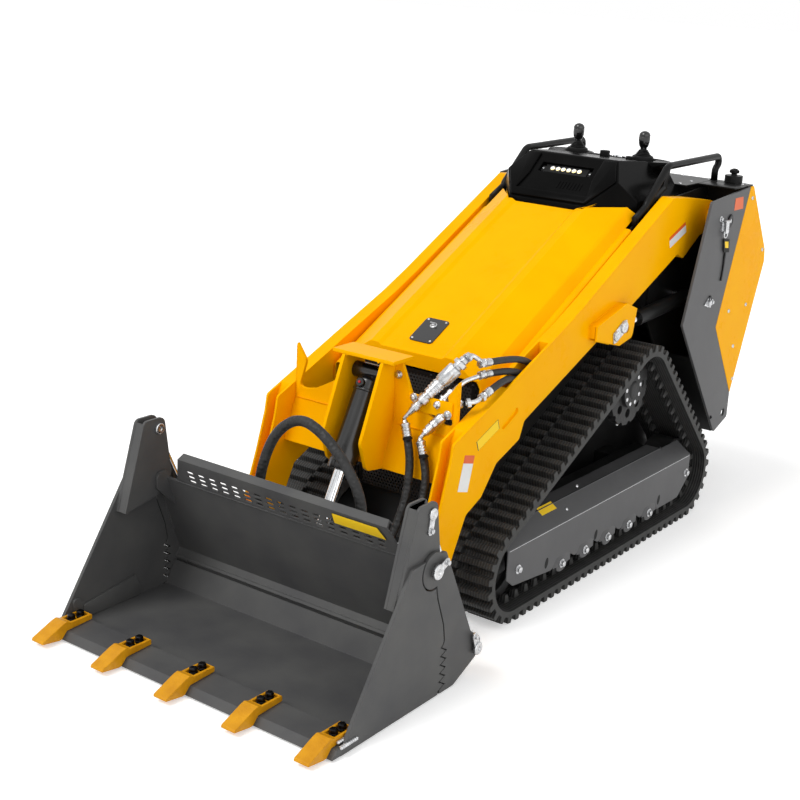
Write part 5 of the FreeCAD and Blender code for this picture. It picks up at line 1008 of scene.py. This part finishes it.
def make_labels():
    """The blank warning and instruction labels."""
    low_arm = [(ARM_FACE_X, -861, 598), (ARM_FACE_X, -806, 584), (ARM_FACE_X, -834, 473), (ARM_FACE_X, -889, 488)]
    upper_arm = [(ARM_FACE_X, 516, 1156), (ARM_FACE_X, 530, 1116), (ARM_FACE_X, 408, 1072), (ARM_FACE_X, 394, 1111)]
    top, foot = split(low_arm, 0.22)
    label("arm_label_low_head", "boom", LABEL_ORANGE, top, LEFT)
    label("arm_label_low", "boom", LABEL_WHITE, foot, LEFT)
    a, b, c, d = upper_arm
    head, rest = split([a, d, c, b], 0.3)
    label("arm_label_high_head", "boom", LABEL_ORANGE, head, LEFT)
    label("arm_label_high", "boom", LABEL_WHITE, rest, LEFT)
    yellow = [(ARM_FACE_X, -686, 672), (ARM_FACE_X, -674, 640), (ARM_FACE_X, -789, 594), (ARM_FACE_X, -802, 626)]
    label("arm_label_border", "boom", LABEL_BLACK, yellow, LEFT, 0.5)
    label("arm_label_yellow", "boom", LABEL_YELLOW, shrunk(yellow, 0.045), LEFT, 0.8)
    orange = [(TOWER_X, 742, 1232), (TOWER_X, 812, 1232), (TOWER_X, 822, 1186), (TOWER_X, 740, 1186)]
    label("tower_label", "chassis", LABEL_ORANGE, orange, LEFT)
    decal = [(378, -420, 305.4), (378, -326, 305.4), (428, -326, 268.8), (428, -420, 268.8)]
    label("cover_label", "chassis", LABEL_YELLOW, decal, COVER_LID)
    board = Vector((0.0, -0.915, 0.403))
    guard = []
    for x, along in ((205, 88), (372, 88), (396, 50), (205, 50)):
        guard.append((x, -1252 - 0.404 * along - 4.7, 408.3 + 0.915 * along + 2.0))
    label("guard_label_border", "bucket", LABEL_BLACK, guard, board, 0.4)
    label("guard_label", "bucket", LABEL_YELLOW, shrunk(guard, 0.03), board, 0.7)


make_labels()


# ---------------------------------------------------------------- towers and arms
def make_arm_fittings():
    """Lift pin keepers, boom pin caps and painted welds of the arms."""
    bm = bmesh.new()
    x = BRACKET_X
    lathe(bm, [(0, 20), (2, 21), (8, 21), (10, 19), (10, 8), (8, 6)], place(x, 37, 849), LEFT, 36)
    lathe(bm, [(0, 18), (2, 19), (7, 19), (9, 17), (9, 7), (7, 5)], place(x, -12, 826), LEFT, 32)
    plate(bm, x, ((-36, 836), (-28, 800), (-6, 803), (60, 836), (56, 872), (30, 872)), 4)
    both_sides(bm)
    finish("lift_pin_keepers", bm, ZINC, 0.5, 1, body="boom")
    caps = bmesh.new()
    for y, z, radius in ((715, 1150, 26), (610, 865, 18)):
        profile = [(0, radius), (3, radius), (5, radius - 2), (5, 8), (3, 6)]
        lathe(caps, profile, place(TOWER_X, y, z), LEFT, 36)
    button_bolt(caps, place(TOWER_X, 752, 377), LEFT, 8)
    both_sides(caps)
    finish("tower_pin_caps", caps, BLACK_BOLT, 0.5, 1)
    runs = bmesh.new()
    for a, b in (((-148, 832), (-148, 878)), ((-148, 878), (48, 926)), ((-148, 832), (0, 790))):
        weld(runs, (ARM_FACE_X, *a), (ARM_FACE_X, *b), 8)
    both_sides(runs)
    finish("arm_welds", runs, YELLOW, body="boom")
    yoke = bmesh.new()
    weld(yoke, (82, -880, 488), (82, -826, 628), 8)
    weld(yoke, (82, -838, 640), (82, -838, 826), 7)
    weld(yoke, (60, -905, 832), (60, -806, 832), 6)
    weld(yoke, (100, -839, 630), (312, -839, 630), 7)
    weld(yoke, (316, -836, 640), (316, -836, 800), 8)
    both_sides(yoke)
    finish("crossmember_welds", yoke, YELLOW, body="boom")


make_arm_fittings()


def make_tower_fittings():
    """Toggle latch, hanging tag, boom lock bolt and the side panels' screws."""
    bm = bmesh.new()
    x = TOWER_X
    plate(bm, x, ((640, 1118), (682, 1118), (684, 1158), (636, 1160)), 4)
    brick(bm, (14, 26, 44), place(x + 10, 660, 1134), Matrix.Rotation(math.radians(6), 4, "X"))
    lathe(bm, [(0, 6), (34, 6)], place(x + 12, 643, 1154), Vector((0, 1, 0)), 16)
    hook = ((646, 1120), (646, 1108), (646, 1100), (660, 1094), (676, 1100), (676, 1120))
    pipe(bm, [place(x + 12, y, z) for y, z in hook], 5)
    hex_bolt(bm, place(x, 631, 1166), LEFT, 13)
    hex_bolt(bm, place(x, 600, 856), LEFT, 20)
    plate(bm, x, ((560, 852), (598, 878), (640, 862), (618, 836)), 4)
    hex_bolt(bm, place(x + 4, 625, 856), LEFT, 13)
    both_sides(bm)
    finish("tower_latches", bm, ZINC, 0.5, 1)
    tag = bmesh.new()
    plate(tag, x + 5, ((662, 1090), (714, 1084), (724, 1032), (674, 1038)), 2)
    plate(tag, x + 1, ((690, 1036), (702, 1035), (700, 980), (692, 927), (682, 929), (690, 980)), 4)
    both_sides(tag)
    finish("tower_tags", tag, NYLON, 0.6, 1)
    face = [(x + 7, 672, 1079), (x + 7, 705, 1075), (x + 7, 711, 1050), (x + 7, 681, 1054)]
    mirror_face = [(-a, y, z) for a, y, z in face]
    label("tag_face_left", "chassis", LABEL_YELLOW, face, LEFT, 0.5)
    label("tag_face_right", "chassis", LABEL_YELLOW, mirror_face, -LEFT, 0.5)
    screws = bmesh.new()
    for y, z in ((900, 1218), (963, 794), (802, 793), (886, 639), (1062, 1000), (920, 500)):
        button_bolt(screws, place(x, y, z), LEFT, 8)
    both_sides(screws)
    finish("side_panel_screws", screws, ZINC)


make_tower_fittings()


# ---------------------------------------------------------------- hood and console
HOOD_SLOPE = math.radians(27.2)
HOOD_OUT = Vector((0.0, -math.sin(HOOD_SLOPE), math.cos(HOOD_SLOPE)))
HOOD_UP = Vector((0.0, math.cos(HOOD_SLOPE), math.sin(HOOD_SLOPE)))


def make_hood_flanges():
    """Rolled flanges along the hood's sides that close the gap to the arms."""
    bm = bmesh.new()
    outside = [(283, 714), (299, 713), (306, 710), (310, 704), (311, 696), (311, 656)]
    inside = [(309, 656), (309, 696), (305, 706), (298, 710.4), (283, 711.4)]
    slab(bm, [place(x, -646, z) for x, z in (outside + inside)[::-1]], Vector((0.0, 0.856, 0.4399)))
    both_sides(bm)
    finish("hood_flanges", bm, YELLOW, 0.5, 2, body="hood")


make_hood_flanges()


def make_hood_fittings():
    """Corner screws and the quarter-turn lock of the nose's access plate."""
    low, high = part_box("hood_plate")
    middle = (low + high) / 2 + HOOD_OUT * 0.002
    bm = bmesh.new()
    for across in (-35, 35):
        for along in (-50, 50):
            button_bolt(bm, middle + (LEFT * across + HOOD_UP * along) / 1000, HOOD_OUT, 4.5)
    lock = middle + HOOD_UP * 0.026
    lathe(bm, [(0, 12.5), (1.6, 12.5), (2.6, 11), (3, 7.5), (7, 7), (8, 6)], lock, HOOD_OUT, 32)
    brick(bm, (21, 4, 7), lock + HOOD_OUT * 0.009, axes(LEFT, HOOD_UP, HOOD_OUT))
    finish("hood_plate_lock", bm, ZINC, 0.4, 1, body="hood")


make_hood_fittings()


# ---------------------------------------------------------------- console
CONSOLE_SLOPE = math.radians(40.2)
FACE_UP = Vector((0.0, math.cos(CONSOLE_SLOPE), math.sin(CONSOLE_SLOPE)))
FACE_OUT = Vector((0.0, -math.sin(CONSOLE_SLOPE), math.cos(CONSOLE_SLOPE)))
CONSOLE_TURN = axes(LEFT, FACE_UP, FACE_OUT)
LIGHT_EARS = (-96, 96)
DIODES = [(i - 2.5) * 22 for i in range(6)]
LIGHT_CENTRE = place(0, 132 + (1322 - 1217) / math.tan(CONSOLE_SLOPE), 1322)


def on_face(across, up, out):
    """A point of the console's sloping face, measured from the light's middle."""
    return LIGHT_CENTRE + (LEFT * across + FACE_UP * up + FACE_OUT * out) / 1000


def make_light():
    """Work light: a housing with two ears, a chromed reflector row of six diodes and their lenses."""
    housing = bmesh.new()
    brick(housing, (176, 38, 14), on_face(0, 0, -14), CONSOLE_TURN)
    for across in LIGHT_EARS:
        brick(housing, (14, 26, 10), on_face(across, 0, -15), CONSOLE_TURN)
    light = finish("work_light_housing", housing, NYLON, 2.0)
    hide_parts("light_bar")
    cups = bmesh.new()
    for across in DIODES:
        lathe(cups, [(0, 5), (5, 8.4), (6, 9.2), (5, 9.6), (-1, 9.6)], on_face(across, 0, -9.5), FACE_OUT, 24)
    finish("work_light_reflectors", cups, CHROME)
    lenses = bmesh.new()
    for across in DIODES:
        lathe(lenses, [(0, 7.5), (2.5, 6.5), (4.2, 4), (4.8, 0)], on_face(across, 0, -8), FACE_OUT, 24)
    finish("work_light_diodes", lenses, DIODE)
    bezel = bmesh.new()
    half = [(129, 60), (129, -40), (146, -118)]
    edge = [(150, -152), (219, -30), (179, 60)]
    ring = half + [(-a, b) for a, b in half[::-1]] + [(-a, b) for a, b in edge[::-1]] + edge
    slab(bezel, [on_face(a, b, -0.5) for a, b in ring], FACE_OUT * 0.0095)
    finish("console_bezel", bezel, ABS_BLACK, 3.5, 3)
    screws = bmesh.new()
    for across in LIGHT_EARS:
        button_bolt(screws, on_face(across, 0, -10), FACE_OUT, 4.5)
    finish("work_light_screws", screws, ZINC)
    ribs = bmesh.new()
    for i in range(8):
        brick(ribs, (4, 34, 4), on_face(8 + i * 13, -76, 0.5), CONSOLE_TURN)
    finish("console_vent_ribs", ribs, ABS_BLACK, 1.6, 3)


make_light()


def make_sticks():
    """Joysticks: a stepped bezel, a bellows boot and a capsule knob with its button."""
    bm = bmesh.new()
    seat = place(139, 580, 1350)
    lathe(bm, [
        (-2, 40), (8, 40), (12, 38.5), (15, 34), (15, 31), (13, 30), (15, 28), (18, 29), (20, 27), (21, 23),
        (23, 25.5), (25, 24), (26, 19.5), (28, 22), (30, 20.5), (31, 16), (33, 18.5), (35, 17), (37, 12.5), (40, 11),
        (41, 11),
    ], seat, ABOVE, 48)
    both_sides(bm)
    finish("joystick_boots", bm, NYLON)
    knobs = bmesh.new()
    lathe(knobs, [
        (37, 9), (40, 12), (45, 12.4), (46, 15), (49, 16.4), (55, 18.4), (63, 20.4), (71, 21), (83, 21),
        (84, 20.2), (85.5, 20.2), (86.5, 21), (92, 20.2), (97, 17.6), (101, 13.4), (104, 7), (105, 0),
    ], seat, ABOVE, 48)
    both_sides(knobs)
    sticks = finish("joystick_knobs", knobs, KNOB_BLACK)
    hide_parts("joysticks")
    buttons = bmesh.new()
    for side in (-1, 1):
        thumb = place(side * 139 - 19.5, 584, 1428)
        lathe(buttons, [(0, 5.5), (3, 5.5), (4.5, 4), (5, 0)], thumb, Vector((-1.0, 0.2, 0.1)), 20)
    finish("joystick_buttons", buttons, BUTTON_RED)


make_sticks()


def make_stick_rests():
    """Flared oval rests moulded into the console's shoulders round each joystick."""
    bm = bmesh.new()
    middle = place(163, 578, 1342)
    lathe(bm, [
        (-78, 34), (-52, 56), (-28, 80), (-18, 90), (-12, 94), (-4, 96), (2, 96), (7, 93.5), (10, 88),
        (10, 80), (8, 74),
    ], middle, ABOVE, 64)
    bmesh.ops.scale(bm, verts=bm.verts, vec=(1.0, 0.66, 1.0), space=Matrix.Translation(-middle))
    both_sides(bm)
    finish("joystick_rests", bm, ABS_BLACK, 1.0, 2)


make_stick_rests()


def make_console_fittings():
    """Key switch, rocker switches, gauge, filler cap grip, tower top plates and screws on the console and the deck.
    """
    bm = bmesh.new()
    brick(bm, (30, 26, 26), place(27, 492, 1364))
    brick(bm, (27, 22, 14), place(131, 494, 1360))
    brick(bm, (150, 76, 7), place(0, 572, 1344), Matrix.Rotation(math.radians(-10.4), 4, "X"))
    finish("console_switch_panel", bm, NYLON, 2.5, 3)
    rockers = bmesh.new()
    for i in range(4):
        spot = place(-57 + i * 22, 564, 1349)
        brick(rockers, (14, 24, 8), spot, Matrix.Rotation(math.radians(-4), 4, "X"))
    finish("console_rockers", rockers, KNOB_BLACK, 2.0, 3)
    gauge = bmesh.new()
    tilt = Vector((0.0, 0.18, 0.98))
    lathe(gauge, [(0, 24), (6, 24), (8, 22.5), (8, 20), (4, 19.5)], place(46, 572, 1346), tilt, 40)
    lathe(gauge, [(0, 9), (6, 8.5), (7, 7), (7, 3), (5, 3)], place(-62, 596, 1342), tilt, 24)
    finish("console_gauge_rings", gauge, CHROME)
    dial = bmesh.new()
    lathe(dial, [(0, 19.4), (0.6, 19.4)], place(46, 572.7, 1350.2), tilt, 40)
    finish("console_gauge_dial", dial, LABEL_WHITE)
    needle = bmesh.new()
    brick(needle, (2.2, 24, 1.4), place(48, 573, 1351.4), Matrix.Rotation(math.radians(38), 4, "Z"))
    lathe(needle, [(0, 3.4), (2, 3)], place(46, 573, 1350.6), tilt, 20)
    finish("console_gauge_needle", needle, LABEL_ORANGE)

    knob = bmesh.new()
    top = place(380, 878, 0)
    top.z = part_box("deck")[1].z
    lathe(knob, [(0, 12), (6, 10), (8, 13), (10, 15), (19, 15), (23, 12), (25, 7)], top, ABOVE, 40)
    for k in range(6):
        angle = math.pi * k / 3
        lobe = top + Vector((math.cos(angle) * 0.0145, math.sin(angle) * 0.0145, 0.009))
        lathe(knob, [(0, 4), (1.5, 5), (9, 5), (10.5, 4)], lobe, ABOVE, 20)
    finish("filler_cap_grip", knob, NYLON)

    caps = bmesh.new()
    slab(caps, [place(x, y, 1263.5) for x, y in ((299, 740), (449, 740), (449, 852), (299, 852))], ABOVE * 0.005)
    both_sides(caps)
    finish("tower_top_plates", caps, BLACK, 1.2)

    screws = bmesh.new()
    for x, y in ((60, 885), (170, 885), (278, 885), (425, 862), (425, 894), (262, 664), (262, 760)):
        button_bolt(screws, place(x, y, 1269), ABOVE, 6.5)
    for y in (330, 440, 560):
        button_bolt(screws, place(276, y, 1196), LEFT, 6)
    both_sides(screws)
    finish("deck_screws", screws, ZINC)


make_console_fittings()


# ---------------------------------------------------------------- operator's end
UPPER_SHEET = (905.0, 1263.0, 1090.0, 1000.0)
LOWER_SHEET = (1100.0, 950.0, 912.0, 446.0)


def sheet_axes(sheet):
    """The top edge's middle, the way down and the way out of a rear sheet."""
    y0, z0, y1, z1 = sheet
    down = Vector((0.0, y1 - y0, z1 - z0)).normalized()
    return place(0, y0, z0), down, down.cross(LEFT)


def make_rear_details():
    """Louvred service door, its hinges and latch, and the screws of the rear sheets."""
    top, down, out = sheet_axes(LOWER_SHEET)
    turn = axes(LEFT, -down, out)
    door = bmesh.new()
    corners = [(-300, 60), (-280, 40), (280, 40), (300, 60), (300, 430), (280, 450), (-280, 450), (-300, 430)]
    slab(door, [top + (LEFT * x + down * along + out * 0.3) / 1000 for x, along in corners], out * 0.004)
    finish("rear_door", door, BLACK, 1.5, 2)
    louvres = bmesh.new()
    lean = Matrix.Rotation(math.radians(-24), 4, "X")
    for x in (-180, 0, 180):
        for row in range(7):
            spot = top + (LEFT * x + down * (190 + row * 32) + out * 6.5) / 1000
            brick(louvres, (146, 17, 7), spot, turn @ lean)
    finish("rear_door_louvres", louvres, BLACK, 3.0, 3)
    fittings = bmesh.new()
    for along in (110, 380):
        spot = top + (LEFT * -304 + down * (along - 30) + out * 7) / 1000
        lathe(fittings, [(0, 7), (60, 7)], spot, down, 20)
    round_door = ((-330, 30), (-330, 470), (330, 30), (330, 470), (0, 22))
    round_door += ((-430, 60), (430, 60), (-400, 470), (400, 470))
    for x, along in round_door:
        button_bolt(fittings, top + (LEFT * x + down * along) / 1000, out, 7)
    finish("rear_door_hinges", fittings, ZINC, 0.4, 1)
    latch = bmesh.new()
    spot = top + (LEFT * 262 + down * 110 + out * 8) / 1000
    brick(latch, (46, 82, 8), spot, turn)
    brick(latch, (26, 46, 8), spot + out * 0.006, turn @ Matrix.Rotation(math.radians(8), 4, "X"))
    finish("rear_door_latch", latch, NYLON, 2.0, 3)

    top, down, out = sheet_axes(UPPER_SHEET)
    upper = bmesh.new()
    for x, along in ((-420, 30), (420, 30), (-420, 290), (420, 290), (-260, 30), (260, 30)):
        button_bolt(upper, top + (LEFT * x + down * along) / 1000, out, 7)
    finish("rear_sheet_screws", upper, ZINC)


make_rear_details()


def make_tread():
    """Raised lozenges of the platform's tread plate, and its bolts."""
    bm = bmesh.new()
    top = place(0, 0, 270).z
    rows, columns = 12, 17
    for row in range(rows):
        for column in range(columns):
            x = (column - (columns - 1) / 2) * 30.5
            y = 966 + row * 31
            lean = math.pi / 4 if (row + column) % 2 else -math.pi / 4
            spot = Matrix.Translation(Vector((x / 1000, place(0, y, 0).y, top + 0.0011)))
            size = Matrix.Diagonal((0.0165, 0.0055, 1.0, 1.0))
            bmesh.ops.create_cone(
                bm, cap_ends=True, segments=8, radius1=1.0, radius2=0.6, depth=0.0026,
                matrix=spot @ Matrix.Rotation(lean, 4, "Z") @ size,
            )
    finish("platform_tread", bm, BLACK)
    bolts = bmesh.new()
    for x in (-130, 130):
        for y in (985, 1110):
            hex_bolt(bolts, place(x, y, 270), ABOVE, 17)
    finish("platform_bolts", bolts, ZINC, 0.4, 1)


make_tread()


def make_thigh_pad():
    """Foam cushion in embossed vinyl: crowned, flat on its back, with sewn channels and a piped edge."""
    _, down, out = sheet_axes(UPPER_SHEET)
    low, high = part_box("thigh_pad")
    middle = (low + high) / 2
    half_width, half_height, half_depth = 0.230, 0.120, 0.020
    form = stand("pad_form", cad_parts["thigh_pad"].data.copy())
    for vert in form.data.vertices:
        arm = vert.co - middle
        rise = (arm.dot(out) + half_depth) * 0.8 - half_depth
        vert.co = middle + LEFT * arm.x * 0.975 + down * arm.dot(down) * 0.955 + out * rise
    skin = form.modifiers.new("even_skin", "REMESH")
    skin.mode = "VOXEL"
    skin.voxel_size = 0.006
    pad = stand("thigh_cushion", baked(form))
    bpy.data.objects.remove(form)
    before = [vert.co.copy() for vert in pad.data.vertices]
    after = before
    filling = pad.modifiers.new("filling", "CLOTH")
    filling.settings.use_pressure = True
    filling.settings.uniform_pressure_force = 4.0
    filling.settings.effector_weights.gravity = 0.0
    for step in range(1, 21):
        bpy.context.scene.frame_set(step)
    after = [vert.co.copy() for vert in baked(pad).vertices]
    pad.modifiers.remove(filling)
    bpy.context.scene.frame_set(1)
    most = 0.008
    for vert, was, now in zip(pad.data.vertices, before, after):
        move = now - was
        if move.length > most:
            move = move.normalized() * most
        arm = was + move - middle
        rise = max(arm.dot(out), -half_depth)
        across = arm.dot(LEFT)
        front = max(0.0, rise / half_depth)
        for seam in (-0.077, 0.077):
            rise -= 0.008 * front * math.exp(-((across - seam) / 0.006) ** 2)
        vert.co = middle + LEFT * across + down * arm.dot(down) + out * rise
    soft = pad.modifiers.new("soft_skin", "SUBSURF")
    soft.levels = 1
    soft.render_levels = 1
    pad.data.materials.clear()
    pad.data.materials.append(PAD_VINYL)
    pad.data.shade_smooth()
    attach(pad, "chassis")
    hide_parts("thigh_pad")

    piping = bmesh.new()
    corner = 0.022
    reach_x, reach_d = half_width - 0.004, half_height - 0.004
    loop = []
    for k in range(40):
        angle = 2 * math.pi * (k + 0.5) / 40
        x = math.copysign(reach_x - corner, math.cos(angle)) + corner * math.cos(angle)
        d = math.copysign(reach_d - corner, math.sin(angle)) + corner * math.sin(angle)
        loop.append(middle + LEFT * x + down * d + out * -0.004)
    for a, b in zip(loop, loop[1:] + loop[:1]):
        run = b - a
        drum(piping, 10, 3.0, 3.0, run.length * 1000, a, run)
        bmesh.ops.create_icosphere(piping, subdivisions=2, radius=0.003, matrix=Matrix.Translation(a))
    finish("thigh_cushion_piping", piping, NYLON)


make_thigh_pad()


# ---------------------------------------------------------------- studio
FLOOR_GLOW = 0.42
AMBIENT = 0.55
SUNS = (("soft_daylight", 1.75, 28.0, (-0.25, -0.55, 0.8)), ("side_fill", 0.95, 70.0, (1.0, -0.35, 0.3)))


def studio():
    """A pale floor, an even white surround and soft daylight from the front left."""
    floor_mesh = bpy.data.meshes.new("studio_floor")
    bm = bmesh.new()
    bmesh.ops.create_grid(bm, x_segments=1, y_segments=1, size=60.0)
    bm.to_mesh(floor_mesh)
    bm.free()
    floor = stand("studio_floor", floor_mesh)
    material, cloud = patterned("painted_studio_floor", (NOISE, 1250, {"Detail": 2.0}))
    paint = add_node(material, "ShaderNodeValToRGB", {"stops": cloudy("F0F0F0", "F2F2F2")}, {"Fac": cloud})
    diffuse = add_node(material, "ShaderNodeBsdfDiffuse", links={"Color": paint.outputs["Color"]})
    rays = add_node(material, "ShaderNodeLightPath")
    seen = add_node(material, "ShaderNodeMath", {"operation": "MAXIMUM"}, {
        0: rays.outputs["Is Camera Ray"], 1: rays.outputs["Is Glossy Ray"],
    })
    lift = add_node(material, "ShaderNodeMath", {"operation": "MULTIPLY", 1: FLOOR_GLOW}, {0: seen.outputs["Value"]})
    glow = add_node(material, "ShaderNodeEmission", links={"Strength": lift.outputs["Value"]})
    both = add_node(material, "ShaderNodeAddShader", links={0: diffuse.outputs["BSDF"], 1: glow.outputs["Emission"]})
    add_node(material, "ShaderNodeOutputMaterial", links={"Surface": both.outputs["Shader"]})
    floor_mesh.materials.append(material)

    world = bpy.data.worlds.new("studio_surround")
    world.use_nodes = True
    world.node_tree.nodes.clear()
    rays = add_node(world, "ShaderNodeLightPath")
    seen = add_node(world, "ShaderNodeMath", {"operation": "MAXIMUM"}, {
        0: rays.outputs["Is Camera Ray"], 1: rays.outputs["Is Transmission Ray"],
    })
    shine = add_node(world, "ShaderNodeMath", {"operation": "MAXIMUM"}, {
        0: seen.outputs["Value"], 1: rays.outputs["Is Glossy Ray"],
    })
    level = add_node(world, "ShaderNodeMapRange", {"To Min": AMBIENT, "To Max": 1.0}, {
        "Value": shine.outputs["Value"],
    })
    back = add_node(world, "ShaderNodeBackground", {"Color": (1.0, 1.0, 1.0, 1.0)}, {
        "Strength": level.outputs["Result"],
    })
    add_node(world, "ShaderNodeOutputWorld", links={"Surface": back.outputs["Background"]})
    bpy.context.scene.world = world

    for name, strength, spread, aim in SUNS:
        sun_data = bpy.data.lights.new(name, "SUN")
        sun_data.energy = strength
        sun_data.angle = math.radians(spread)
        sun = stand(name, sun_data)
        sun.rotation_euler = Vector(aim).to_track_quat("Z", "Y").to_euler()


studio()
